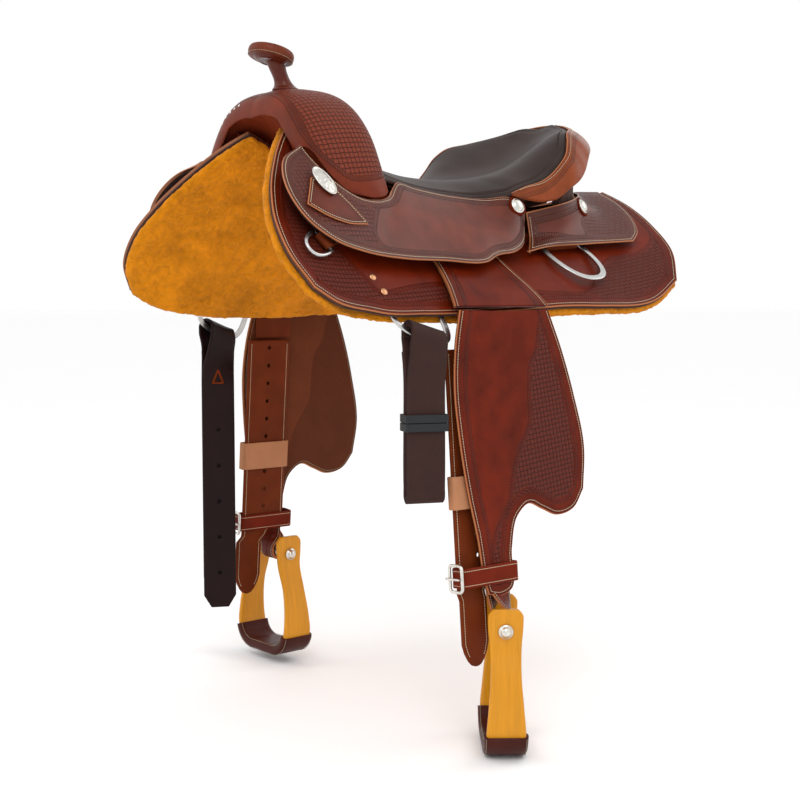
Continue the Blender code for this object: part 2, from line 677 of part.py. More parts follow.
def frame_on_grid(grid, i, j):
    """Origin a gap off a grid's face, and the rearward, downward and outward directions there."""
    rear = np.gradient(grid, axis=0)[i, j]
    down = np.gradient(grid, axis=1)[i, j]
    rear /= np.linalg.norm(rear)
    out = np.cross(down, rear)
    out /= np.linalg.norm(out)
    return grid[i, j] + out * 3 * GAP, rear, np.cross(rear, out), out


def heights_over(face, y, s):
    """How high a face stands over the side surface at each (y, s): its nearest refined point, by normal."""
    rows = smooth(np.transpose(face, (1, 0, 2)).reshape(face.shape[1], -1), 41).reshape(41, -1, 3)
    fine = smooth(np.transpose(rows, (1, 0, 2)).reshape(face.shape[0], -1), 121).reshape(-1, 3)
    heights = np.empty(y.shape)
    for index in np.ndindex(y.shape):
        origin, rear, down, out = frame_on_side(y[index], s[index])
        offset = fine - origin
        flat = np.hypot(offset @ rear, offset @ down)
        heights[index] = (offset[np.argsort(flat)[:5]] @ out).max()
    return heights


def make_jockey_tabs(face):
    plan = patch([(-0.270, 0.150), (-0.250, 0.144), (-0.232, 0.156), (-0.196, 0.186)],
                 [(-0.293, 0.194), (-0.268, 0.206), (-0.235, 0.207), (-0.196, 0.190)],
                 [(-0.270, 0.150), (-0.293, 0.194)], [(-0.196, 0.186), (-0.196, 0.190)], 8, 4)
    y, s = plan[..., 0], plan[..., 1]
    heights = heights_over(face, y, s) + TAB_THICKNESS + 0.0012
    top = side(y, s, heights)
    origin, rear, down, out = frame_on_side(-0.2575, 0.1535)
    height = heights_over(face, np.array([-0.2575]), np.array([0.1535]))[0]
    place = (origin + out * (height + TAB_THICKNESS + 0.0030), rear, down, out)
    for name, sign in SIDES.items():
        sheet(f"jockey_tab_{name}", top, TAB_THICKNESS, "skirting_leather", sign)
        make_concho(f"front_concho_{name}", sign, place, 0.022, 0.0145, 62)


def make_concho(name, sign, place, long_radius, short_radius, turn):
    """Domed silver button; turn is its long axis's angle from rearward to down."""
    origin, rear, down, out = place
    angle = math.radians(turn)
    major = rear * math.cos(angle) + down * math.sin(angle)
    minor = down * math.cos(angle) - rear * math.sin(angle)
    turns = np.radians(np.arange(0, 360, 22.5))[:, None]
    rings = []
    for share, height in ((1.0, 0.0), (1.0, 0.25), (0.85, 0.65), (0.45, 0.95)):
        rings.append(origin + share * (long_radius * np.cos(turns) * major + short_radius * np.sin(turns) * minor)
                     + out * CONCHO_HEIGHT * height)
    loft(name, rings, "silver", sign)


# Hardware

def dee_outline(width, depth, band, count, fullness=0.9):
    """D ring's centre line: a straight bar and an arc, as (along the bar, away from the bar).

    The lower the fullness, the squarer the arc.
    """
    half = (width - band) / 2
    reach = depth - band
    turns = np.radians(np.linspace(0, 180, count))
    sines = np.clip(np.sin(turns), 0, 1)
    arc = [(half * math.copysign(abs(c) ** fullness, c), reach * (0.18 + 0.82 * v ** fullness))
           for c, v in zip(np.cos(turns), sines)]
    return [(half * k, 0.0) for k in (-1, -0.5, 0, 0.5, 1)] + arc


def round_dee(name, sign, origin, bar, away, width, depth, wire):
    """Closed ring of round wire: a poly curve with a bevel, made a mesh."""
    points = dee_outline(width, depth, 2 * wire, 13)
    curve = bpy.data.curves.new(name, "CURVE")
    curve.dimensions = "3D"
    spline = curve.splines.new("POLY")
    spline.points.add(len(points) - 1)
    spline.use_cyclic_u = True
    for target, (a, b) in zip(spline.points, points):
        where = (origin + bar * a + away * b) * (sign, 1, 1)
        target.co = (*where, 1)
    curve.bevel_depth = wire
    curve.bevel_resolution = 2
    obj = bpy.data.objects.new(name, curve)
    PARTS.objects.link(obj)
    curve.materials.append(material("stainless_steel"))
    return obj


def plate_dee(name, sign, place, width, depth, band, bar_band, fullness, plate=0.0):
    """D ring cut from plate; place(along, away, level) gives its points, plate widens it above the bar."""
    points = np.array(dee_outline(width, depth, band, 19, fullness))
    middle = points.mean(axis=0)
    rings = []
    for k, point in enumerate(points):
        before, after = points[k - 1], points[(k + 1) % len(points)]
        along = (after - before) / np.linalg.norm(after - before)
        normal = np.array([along[1], -along[0]])
        normal *= math.copysign(1, np.dot(normal, point - middle))
        outer, inner = point + normal * band / 2, point - normal * band / 2
        if k < 5:
            corner = band / 2 * math.copysign(1, point[0]) if k in (0, 4) else 0
            outer = np.array([point[0] + corner, -bar_band / 2 - plate])
            inner = np.array([point[0] - corner, bar_band / 2])
        half = DEE_THICKNESS / 2
        rings.append([place(*outer, half), place(*outer, -half), place(*inner, -half), place(*inner, half)])
    return loft(name, rings, "stainless_steel", sign, closed=True)


def folded_tab(name, sign, origin, bar, away, out, radius, width, length, thickness=0.0022):
    """Leather tab folded round a dee's bar: one leg lies under the other, both run back from the bar."""
    bend = radius + RUNNING_GAP + thickness / 2
    leg = thickness / 2 + 0.0004
    start = [(-length, -bend + leg), (-length * 0.45, -bend + leg * 1.0), (-bend * 1.3, -bend * 0.96)]
    arc = [(bend * math.sin(t), -bend * math.cos(t)) for t in np.radians(np.arange(0, 181, 30))]
    finish = [(-bend * 1.6, bend * 0.80), (-length * 0.45, -bend + 3.4 * leg), (-length, -bend + 3.2 * leg)]
    path = np.array([origin + away * a + out * b for a, b in start + arc + finish])
    strap(name, path, bar, width, thickness, "skirting_leather", sign)


def make_dees():
    turn = math.radians(57)
    h = BREAST_DEE_WIRE + 2 * RUNNING_GAP + 0.0022 + GAP
    origin, rear, down, out = frame_on_side(-0.270, 0.229, h)
    bar = rear * math.cos(turn) + down * math.sin(turn)
    away = np.cross(bar, out)
    for name, sign in SIDES.items():
        round_dee(f"breast_dee_{name}", sign, origin, bar, away, BREAST_DEE_WIDTH, BREAST_DEE_DEPTH,
                  BREAST_DEE_WIRE)
        folded_tab(f"breast_dee_tab_{name}", sign, origin, bar, away, out, BREAST_DEE_WIRE,
                   BREAST_DEE_WIDTH - 6 * BREAST_DEE_WIRE, 0.030)
    bar_half = 0.5 * math.hypot(DEE_THICKNESS, 0.005)
    h = bar_half + 2 * RUNNING_GAP + 0.0022 + GAP
    origin, rear, down, out = frame_on_side(0.186, 0.124, h)
    for name, sign in SIDES.items():
        plate_dee(f"rear_dee_{name}", sign, lambda a, b, level: origin + rear * a + down * b + out * level,
                  REAR_DEE_WIDTH, REAR_DEE_DEPTH, REAR_DEE_BAND, 0.005, 0.85)
        folded_tab(f"rear_dee_tab_{name}", sign, origin, rear, down, out, bar_half,
                   REAR_DEE_WIDTH - 2.6 * REAR_DEE_BAND, 0.015)
    level = -(SKIRT_THICKNESS + DEE_THICKNESS / 2 + 0.0010)
    bars = {}
    for name, sign in SIDES.items():
        y0, s0 = RIGGING_PLACE[sign]

        def place(a, b, height):
            return side(y0 + a, s0 + b, level + height)

        plate_dee(f"rigging_dee_{name}", sign, place, RIGGING_WIDTH, RIGGING_DEPTH, RIGGING_BAND,
                  RIGGING_BAND, 0.55, plate=0.012)
        away = RIGGING_DEPTH - RIGGING_BAND
        along = place(STRAP_OFFSET[sign] + 0.012, away, 0) - place(STRAP_OFFSET[sign] - 0.012, away, 0)
        bars[sign] = (place(STRAP_OFFSET[sign], away, 0), along / np.linalg.norm(along))
    return bars


# Stirrup leathers, fenders and stirrups

TILT = math.radians(FENDER_TILT)
DOWN = np.array([math.sin(TILT), 0, -math.cos(TILT)])
OUT = np.array([math.cos(TILT), 0, math.sin(TILT)])
REARWARD = np.array([0, 1.0, 0])


def skirt_edge(y):
    """Distance from the spine edge to the skirt's lower edge at a station."""
    edge = np.array(SKIRT_BOTTOM)
    return float(blend_slopes(edge[:, 1], edge[:, 0], np.array(float(y))))


def hinge_point():
    """On the fender's inner face, just outside the stirrup leather's lower end."""
    edge = side(HINGE_Y, skirt_edge(HINGE_Y) + 0.004, LEATHER_TOP_LIFT + LEATHER_TOP_THICKNESS)
    return edge + np.array([2 * RUNNING_GAP + LOOP_THICKNESS, 0, 0])


def hang(y, w, off=0.0):
    """Point in the hanging plane: y along the saddle, w down from the hinge line, off outward."""
    y, w, off = np.broadcast_arrays(np.asarray(y, float), w, off)
    return (hinge_point() * (1, 0, 1) + REARWARD * y[..., None] + DOWN * w[..., None] + OUT * off[..., None])


def make_leather_tops():
    """The part of the leathers that lies on the skirt: it doesn't move with the fender."""
    level = hinge_point()[2] + 0.0035
    height = LEATHER_TOP_LIFT + LEATHER_TOP_THICKNESS
    low = []
    for y in (-0.090, -0.055, -0.015, 0.025, 0.062):
        s = np.linspace(0.15, 0.30, 60)
        low.append((y, float(np.interp(-level, -side(np.full(60, y), s, height)[:, 2], s))))
    plan = patch([(-0.076, 0.112), (-0.016, 0.112), (0.044, 0.112)], low,
                 [(-0.076, 0.112), (-0.074, 0.185), low[0]], [(0.044, 0.112), (0.055, 0.185), low[-1]], 7, 7)
    face = side(plan[..., 0], plan[..., 1], height)
    for name, sign in SIDES.items():
        under = side(plan[..., 0], plan[..., 1], LEATHER_TOP_LIFT)
        slab(f"leather_top_{name}", face, under, "skirting_leather", sign)


def bolt_place(sign):
    """Centre of the stirrup bolt and its direction, for the near side; the off side is mirrored after."""
    centre = hang(STIRRUP_Y, STIRRUP_DROP[sign], -0.002)
    turn = math.radians(STIRRUP_TURN[sign])
    return centre, np.array([math.cos(turn), -math.sin(turn), 0])


FENDER_FRONT = [(-0.096, -0.002), (-0.106, 0.040), (-0.112, 0.095), (-0.108, 0.166), (-0.099, 0.231), (-0.086, 0.296),
                (-0.079, 0.345), (-0.0725, 0.368)]
FENDER_REAR = [(0.062, -0.002), (0.083, 0.050), (0.103, 0.115), (0.118, 0.190), (0.112, 0.246)]
FENDER_LOWER = [(-0.0725, 0.368), (-0.051, 0.372), (-0.032, 0.366), (-0.027, 0.312), (-0.013, 0.270),
                (0.007, 0.257), (0.030, 0.266), (0.058, 0.277), (0.092, 0.270), (0.112, 0.246)]


def neck_path(sign):
    """From inside the fender's neck down to the bolt, half a turn round its spacer, and up behind.

    The strap turns from the fender's plane to the bolt's direction on its way down, and back on its way up.
    """
    centre, bolt = bolt_place(sign)
    bend = SPACER_RADIUS + 0.0015 + 0.002
    level = np.cross((0, 0, 1.0), bolt)
    start, finish = hang(NECK_MIDDLE_Y, 0.352, 0.003), hang(NECK_MIDDLE_Y, 0.352, RETURN_LEVEL)
    face = level * bend
    down = [(share, min(max(share - 0.06, 0) / 0.88, 1)) for share in np.linspace(0.13, 1.0, 13)]
    down = [(share, e * e * (3 - 2 * e)) for share, e in down]
    points, ways = [start - DOWN * 0.010, start], [REARWARD, REARWARD]
    for share, ease in down:
        points.append(start * (1 - share) + centre * share + face * ease)
        ways.append(REARWARD * (1 - ease) - bolt * ease)
    for t in np.radians((36, 72, 108, 144)):
        points.append(centre + face * math.cos(t) - np.array([0, 0, bend]) * math.sin(t))
        ways.append(-bolt)
    for share, ease in reversed(down):
        points.append(finish * (1 - share) + centre * share - face * ease)
        ways.append(REARWARD * (1 - ease) - bolt * ease)
    points += [finish, hang(NECK_MIDDLE_Y, SLEEVE_DROP - 0.005, RETURN_LEVEL)]
    ways += [REARWARD, REARWARD]
    return np.array(points), np.array(ways)


def make_fender(name, sign):
    plan = patch([FENDER_FRONT[0], (-0.020, 0.000), FENDER_REAR[0]], FENDER_LOWER, FENDER_FRONT, FENDER_REAR,
                 18, 10)
    face = hang(plan[..., 0], plan[..., 1], FENDER_THICKNESS)
    fender = sheet(f"fender_{name}", face, FENDER_THICKNESS, "skirting_leather", sign)
    path, ways = neck_path(sign)
    neck = strap(f"fender_neck_{name}", path, ways, NECK_WIDTH, 0.004, None, sign, collection=CUTTERS,
                 square=False)
    join(fender, neck)
    return fender


def make_stirrup_leather(name, sign):
    """Inner strap: it hangs behind the fender, is punched with holes and ends in a point."""
    off = LEATHER_LEVEL
    tip, middle = STRAP_TIP_Y[sign], STRAP_MIDDLE_Y
    stops = [(0.048, middle, STRAP_WIDTH), (0.150, middle, STRAP_WIDTH), (0.343, middle, STRAP_WIDTH),
             (0.357, middle - 0.0135, 0.049), (0.364, middle - 0.0150, 0.047),
             (0.373, tip, STRAP_TIP_WIDTH),
             (STRAP_LENGTH - STRAP_POINT, tip, STRAP_TIP_WIDTH),
             (STRAP_LENGTH - 0.012, tip, STRAP_TIP_WIDTH * 0.6), (STRAP_LENGTH, tip, STRAP_TIP_WIDTH * 0.16)]
    path = [hang(y, w, off) for w, y, _ in stops]
    leather = strap(f"stirrup_leather_{name}", path, REARWARD, [v for *_, v in stops], STRAP_THICKNESS,
                    "skirting_leather", sign, square=False)
    holes = [hang(middle, w, off) for w in np.arange(0.060, 0.34, HOLE_SPACING)]
    cut(leather, rods(f"leather_holes_{name}", holes, OUT, HOLE_RADIUS, 3 * STRAP_THICKNESS, sign, 8))


def ring_path(width, low, high, corner, count=3):
    """Rounded rectangle as (along, out) pairs: width across, from low to high outward."""
    points = []
    for cx, cy, start in ((width / 2 - corner, high - corner, 0), (-width / 2 + corner, high - corner, 90),
                          (-width / 2 + corner, low + corner, 180), (width / 2 - corner, low + corner, 270)):
        for t in np.radians(np.linspace(start, start + 90, count)):
            points.append((cx + corner * math.cos(t), cy + corner * math.sin(t)))
    return points


def band_round(name, sign, middle_y, drop, width, low, high, height, thickness, finish, corner):
    """Closed band round the leathers: its path is a rounded rectangle, its width runs down."""
    path = [hang(middle_y + a, drop, b) for a, b in ring_path(width, low, high, corner)]
    return strap(name, path, DOWN, height, thickness, finish, sign, closed=True)


def make_leathers(name, sign):
    loop_off = -RUNNING_GAP - LOOP_THICKNESS / 2
    path = [hang(STRAP_MIDDLE_Y + 0.012, w, loop_off) for w in (0.001, 0.020, 0.0455)]
    strap(f"leather_loop_{name}", path, REARWARD, 0.064, LOOP_THICKNESS, "skirting_leather", sign)
    make_fender(name, sign)
    make_stirrup_leather(name, sign)
    half = SLEEVE_THICKNESS / 2
    band_round(f"buckle_sleeve_{name}", sign, STRAP_MIDDLE_Y, SLEEVE_DROP, STRAP_WIDTH + 2 * half + 0.004,
               BAND_LEVEL - half, -RUNNING_GAP - half, SLEEVE_HEIGHT, SLEEVE_THICKNESS,
               "natural_leather", 0.0035)
    half = HOBBLE_THICKNESS / 2
    width = STRAP_WIDTH + 2 * half + 0.016
    low = BAND_LEVEL - half
    high = FENDER_THICKNESS + RUNNING_GAP + half
    middle = STRAP_MIDDLE_Y + 0.006
    band_round(f"hobble_strap_{name}", sign, middle, HOBBLE_DROP, width, low, high, HOBBLE_WIDTH,
               HOBBLE_THICKNESS, "skirting_leather", 0.005)
    make_buckle(name, sign, middle - width / 2 - half - BUCKLE_WIRE - GAP, low)


def make_buckle(name, sign, front_y, level):
    """Rectangular wire frame in front of the hobble strap, and the tongue that turns on its rear bar."""
    half_height = HOBBLE_WIDTH / 2 + 0.004
    depth = 0.024
    frame = []
    for b, w in ring_path(depth, -half_height, half_height, 0.004):
        frame.append(hang(front_y, HOBBLE_DROP + w, level + depth / 2 + b))
    path = np.array(frame)
    curve_object(f"hobble_buckle_{name}", path * (sign, 1, 1), BUCKLE_WIRE, "stainless_steel", cyclic=True)
    bar = hang(front_y - 2 * BUCKLE_WIRE - 0.0004, HOBBLE_DROP, level)
    tip = hang(front_y - 2 * BUCKLE_WIRE - 0.0004, HOBBLE_DROP, level + depth)
    start = bar - (tip - bar) / np.linalg.norm(tip - bar) * 0.002
    curve_object(f"buckle_tongue_{name}", np.array([start, bar, (bar + tip) / 2, tip]) * (sign, 1, 1), 0.0016,
                 "stainless_steel")


def curve_object(name, points, radius, finish, cyclic=False):
    curve = bpy.data.curves.new(name, "CURVE")
    curve.dimensions = "3D"
    spline = curve.splines.new("POLY")
    spline.points.add(len(points) - 1)
    spline.use_cyclic_u = cyclic
    for target, point in zip(spline.points, points):
        target.co = (*point, 1)
    curve.bevel_depth = radius
    curve.bevel_resolution = 2
    curve.use_fill_caps = not cyclic
    obj = bpy.data.objects.new(name, curve)
    PARTS.objects.link(obj)
    curve.materials.append(material(finish))
    return obj


def stirrup_path():
    """Centre line of the bent wood: (along the bolt, height from the bolt, width) from top to top."""
    half = [(STIRRUP_TOP_SPREAD, STIRRUP_TOP_RISE, STIRRUP_TOP_WIDTH),
            (STIRRUP_TOP_SPREAD, 0.0, 0.96 * STIRRUP_TOP_WIDTH),
            (STIRRUP_TOP_SPREAD + 0.0002, -0.016, 0.90 * STIRRUP_TOP_WIDTH),
            (0.88 * STIRRUP_SPREAD, -0.058, STIRRUP_WAIST_WIDTH),
            (STIRRUP_SPREAD, -0.098, 0.90 * STIRRUP_TREAD_WIDTH)]
    corner = 0.034
    foot = -STIRRUP_DEPTH + STIRRUP_WALL / 2
    for t in np.radians((12, 34, 56, 78)):
        half.append((STIRRUP_SPREAD - corner + corner * math.cos(t), foot + corner - corner * math.sin(t),
                     STIRRUP_TREAD_WIDTH))
    half.append((0.014, foot, STIRRUP_TREAD_WIDTH))
    return half + [(-a, b, w) for a, b, w in reversed(half)]


def make_stirrup(name, sign):
    centre, bolt = bolt_place(sign)
    up = np.array([0, 0, 1.0])
    wide = np.cross(up, bolt)
    stops = stirrup_path()
    path = np.array([centre + bolt * a + up * b for a, b, _ in stops])
    wood = strap(f"stirrup_{name}", path, wide, [w for *_, w in stops], STIRRUP_WALL, "varnished_wood", sign)
    cut(wood, rods(f"bolt_hole_{name}", [centre], bolt, BOLT_RADIUS + GAP, 0.2, sign, 12))
    tread = stops[5:-5]
    rings = []
    for k, (a, b, w) in enumerate(tread):
        before, after = np.array(stops[4 + k][:2]), np.array(stops[6 + k][:2])
        along = (after - before) / np.linalg.norm(after - before)
        normal = np.array([along[1], -along[0]])
        ring = []
        for loose in (GAP + TREAD_LEATHER, GAP):
            t, half = STIRRUP_WALL / 2 + loose, w / 2 + loose
            for cw, ct in ((half, t), (-half, t), (-half, -t), (half, -t)):
                ring.append(centre + bolt * (a + normal[0] * ct) + up * (b + normal[1] * ct) + wide * cw)
        rings.append(ring)
    sleeve(f"stirrup_tread_{name}", np.array(rings), "dark_leather", sign)
    make_bolt(name, sign, centre, bolt)


def sleeve(name, rings, finish, sign):
    """Tube with a wall: each ring holds its four outer corners, then its four inner ones."""
    rows = len(rings)
    faces = []
    for i in range(rows - 1):
        for j in range(4):
            k = (j + 1) % 4
            faces.append((i * 8 + j, i * 8 + k, i * 8 + 8 + k, i * 8 + 8 + j))
            faces.append((i * 8 + 4 + k, i * 8 + 4 + j, i * 8 + 12 + j, i * 8 + 12 + k))
    last = (rows - 1) * 8
    for j in range(4):
        k = (j + 1) % 4
        faces.append((k, j, 4 + j, 4 + k))
        faces.append((last + j, last + k, last + 4 + k, last + 4 + j))
    obj = new_object(name, rings, faces, finish, sign)
    work = bmesh.new()
    work.from_mesh(obj.data)
    bmesh.ops.recalc_face_normals(work, faces=work.faces)
    work.to_mesh(obj.data)
    work.free()
    return obj


def make_bolt(name, sign, centre, bolt):
    """Bolt, spacer and washers as one turned piece across the stirrup's top."""
    wall = STIRRUP_TOP_SPREAD + STIRRUP_WALL / 2
    inner = STIRRUP_TOP_SPREAD - STIRRUP_WALL / 2 - 0.0010
    steps = [(-wall - 0.0085, 0.0035), (-wall - 0.0075, 0.0060), (-wall - 0.0035, 0.0068),
             (-wall - 0.0030, WASHER_RADIUS), (-wall - 0.0009, WASHER_RADIUS), (-wall - 0.0008, BOLT_RADIUS),
             (-inner, BOLT_RADIUS), (-inner + 0.0005, SPACER_RADIUS)]
    steps = steps + [(-a, r) for a, r in reversed(steps)]
    turns = np.radians(np.arange(0, 360, 30))[:, None]
    up = np.array([0, 0, 1.0])
    wide = np.cross(up, bolt)
    rings = [centre + bolt * a + r * (np.cos(turns) * wide + np.sin(turns) * up) for a, r in steps]
    loft(f"stirrup_bolt_{name}", rings, "stainless_steel", sign)


# Latigo and billet

def turned(along, turn, drop):
    """Width and facing directions of a hanging strap: along the dee's bar at the top, and turned to its
    own angle about the vertical by 0.09 below it."""
    share = np.clip((drop - 0.012) / 0.078, 0, 1)
    share = share * share * (3 - 2 * share)
    start = math.degrees(math.atan2(along[0], along[1]))
    angle = math.radians(start * (1 - share) + turn * share)
    slope = along[2] * (1 - share)
    level = math.sqrt(1 - slope * slope)
    way = np.array([level * math.sin(angle), level * math.cos(angle), slope])
    return way, np.array([math.cos(angle), -math.sin(angle), 0])


def hung_path(bar, along, turn, stops):
    """Points and width directions of a strap given as (level out from the bar's line, drop below it)."""
    points, ways = [], []
    for level, drop in stops:
        way, face = turned(along, turn, drop)
        points.append(bar + face * level - np.array([0, 0, drop]))
        ways.append(way)
    return np.array(points), np.array(ways)


def make_latigo(bar, along):
    """Webbing wound in flat turns over the dee, each turn a pitch outside the last."""
    first = 0.0090
    pinch = 0.0072
    drops = (0.018, 0.055, 0.100, 0.190)
    stops = []
    for turn in range(LATIGO_TURNS):
        def reach(part):
            return first + LATIGO_PITCH * (turn + part)

        for k, t in enumerate(np.radians(np.arange(-90, 90, 30))):
            r = reach(k / 24)
            stops.append((r * math.sin(t), -r * math.cos(t)))
        for k, drop in enumerate(drops):
            share = min(max((drop - 0.012) / 0.040, 0), 1)
            stops.append((reach(0.25 + k / 16) - pinch * share, drop))
        for k, t in enumerate(np.radians((30, 90, 150))):
            r = reach(0.5 + k / 32) - pinch
            stops.append((r * math.cos(t), LATIGO_LENGTH + r * math.sin(t)))
        for k, drop in enumerate(reversed(drops)):
            share = min(max((drop - 0.012) / 0.040, 0), 1)
            stops.append((-(reach(0.70 + k / 16) - pinch * share), drop))
    path, ways = hung_path(bar, along, LATIGO_TURN, stops)
    strap("latigo", path, ways, WEBBING_WIDTH, WEBBING_THICKNESS, "nylon_webbing")
    half = first - pinch + LATIGO_PITCH * LATIGO_TURNS + WEBBING_THICKNESS / 2 + BAND_THICKNESS / 2
    half += 2 * RUNNING_GAP
    way, face = turned(along, LATIGO_TURN, 1.0)
    centre = bar - np.array([0, 0, BAND_DROP])
    ring = [centre + way * a + face * b
            for a, b in ring_path(WEBBING_WIDTH + BAND_THICKNESS + 0.004, -half, half, 0.0022)]
    strap("latigo_band", ring, (0, 0, 1.0), BAND_HEIGHT, BAND_THICKNESS, "rubber", closed=True)


def make_billet(bar, along):
    """Leather billet folded over the off dee: two legs of unlike length, punched with holes."""
    bend = 0.0122
    lie = BILLET_THICKNESS / 2 + 0.0006
    stops = [(lie, BILLET_LENGTHS[0]), (lie, 0.30), (lie, 0.16), (lie, 0.065), (0.7 * bend, 0.028)]
    stops += [(bend * math.cos(t), -bend * math.sin(t)) for t in np.radians(np.arange(0, 181, 30))]
    stops += [(-0.7 * bend, 0.028), (-lie, 0.065), (-lie, 0.16), (-lie, 0.30), (-lie, BILLET_LENGTHS[1])]
    path, ways = hung_path(bar, along, BILLET_TURN, stops)
    billet = strap("off_billet", path, ways, WEBBING_WIDTH, BILLET_THICKNESS, "dark_leather", -1)
    holes = [bar - np.array([0, 0, 0.150 + BILLET_HOLE_SPACING * k]) for k in range(5)]
    _, face = turned(along, BILLET_TURN, 1.0)
    cut(billet, rods("billet_holes", holes, face, HOLE_RADIUS, 0.03, -1, 8))


def build():
    make_tree()
    make_swell_cover()
    make_horn()
    make_seat()
    make_cantle()
    make_skirts()
    make_jockeys()
    rigging_bars = make_dees()
    make_leather_tops()
    for name, sign in SIDES.items():
        make_leathers(name, sign)
        make_stirrup(name, sign)
    make_latigo(*rigging_bars[1])
    make_billet(*rigging_bars[-1])


build()
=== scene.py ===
"""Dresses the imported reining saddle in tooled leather, fleece, wood, webbing and metal.

Frame: +X is the near (left) side, +Y the rear, +Z up. Lengths are in metres, angles in degrees.
"""
import math

import bpy
import numpy as np
from mathutils import Matrix, Vector


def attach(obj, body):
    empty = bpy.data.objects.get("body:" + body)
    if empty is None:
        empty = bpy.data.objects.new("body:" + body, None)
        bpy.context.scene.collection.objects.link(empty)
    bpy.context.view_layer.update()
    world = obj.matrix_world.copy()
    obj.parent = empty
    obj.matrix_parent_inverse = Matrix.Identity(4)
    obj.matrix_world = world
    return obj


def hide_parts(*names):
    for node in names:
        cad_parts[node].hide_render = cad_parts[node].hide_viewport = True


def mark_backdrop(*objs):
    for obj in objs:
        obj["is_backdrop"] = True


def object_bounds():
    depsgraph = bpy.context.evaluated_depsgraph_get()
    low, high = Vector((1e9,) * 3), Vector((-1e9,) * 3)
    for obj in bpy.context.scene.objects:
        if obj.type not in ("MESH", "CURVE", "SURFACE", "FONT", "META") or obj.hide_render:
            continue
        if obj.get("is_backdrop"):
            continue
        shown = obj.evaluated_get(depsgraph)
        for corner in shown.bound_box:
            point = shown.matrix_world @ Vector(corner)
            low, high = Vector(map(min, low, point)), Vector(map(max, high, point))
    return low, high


bl_info = {
    "name": "Reining saddle",
    "version": (1, 0, 0),
    "blender": (4, 5, 0),
    "location": "3D View > Sidebar > Saddle",
    "description": "Leather, fleece, wood and metal pieces of a reining saddle",
    "category": "Object",
}

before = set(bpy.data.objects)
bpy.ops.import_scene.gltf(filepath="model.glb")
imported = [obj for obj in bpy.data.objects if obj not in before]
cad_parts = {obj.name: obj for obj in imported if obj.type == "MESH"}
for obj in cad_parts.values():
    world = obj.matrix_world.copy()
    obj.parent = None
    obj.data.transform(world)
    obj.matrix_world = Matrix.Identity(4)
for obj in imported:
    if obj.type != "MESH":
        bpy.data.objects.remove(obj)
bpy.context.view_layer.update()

GAP = 0.0003
RUNNING_GAP = 0.0005

# The side surface: station y, spine edge x and z, slope there, slope at SLOPE_SPAN below it
SIDE_SECTIONS = np.array([
    (-0.350, 0.050, 0.176, 44, 52), (-0.240, 0.046, 0.170, 48, 57), (-0.120, 0.038, 0.105, 36, 54),
    (0.000, 0.036, 0.064, 25, 51), (0.150, 0.036, 0.058, 23, 47), (0.280, 0.034, 0.076, 26, 47),
    (0.430, 0.020, 0.112, 25, 42)])
SLOPE_SPAN = 0.260
SKIRT_THICKNESS = 0.008
HEAD_HEIGHT = 0.0009 + 0.005     # face of the leathers' heads over the skirt
JOCKEY_TOP = 0.021
REAR_JOCKEY_TOP = 0.0155

# Swell
GULLET_CENTRE_Z = 0.070
FORK_MIDDLE_Y = -0.184
FORK_HALF_LENGTH = 0.067
FORK_TOP_RADII = np.array([(0, 0.141), (30, 0.148), (55, 0.147), (75, 0.147), (94, 0.155)])
FORK_END_ANGLES = np.array([(0, 63), (30, 69), (60, 84), (90, 93), (120, 93), (150, 89), (180, 84)])
FORK_BOXINESS = 2.8

# Horn
HORN_BASE = np.array([0.0, -0.194, 0.2119])
HORN_CAP = np.array([0.0, -0.219, 0.2585])
HORN_CAP_PITCH = math.radians(14)
HORN_CAP_RADIUS = 0.0315

# Seat and cantle
SEAT_MIDDLE = ((-0.112, 0.126), (-0.060, 0.110), (0.010, 0.1035), (0.090, 0.107), (0.160, 0.119),
               (0.215, 0.140), (0.255, 0.172), (0.278, 0.197), (0.2865, 0.2025))
SEAT_SIDE = ((0.114, -0.113, 0.093), (0.110, -0.062, 0.083), (0.111, 0.010, 0.075), (0.125, 0.056, 0.0725))
CANTLE_SEAM = np.array([
    (0.144, 0.090, 0.079, 0.004, 0.003), (0.150, 0.112, 0.089, 0.007, 0.018),
    (0.157, 0.138, 0.098, 0.010, 0.029), (0.160, 0.162, 0.116, 0.016, 0.039),
    (0.160, 0.180, 0.137, 0.021, 0.041), (0.152, 0.191, 0.158, 0.029, 0.042),
    (0.139, 0.203, 0.172, 0.034, 0.038), (0.114, 0.233, 0.182, 0.034, 0.031),
    (0.080, 0.262, 0.191, 0.033, 0.023), (0.040, 0.281, 0.200, 0.033, 0.016),
    (0.000, 0.287, 0.203, 0.034, 0.013)])
ROLL_THICKNESS = 0.009
SEAT_CROWN = 0.011

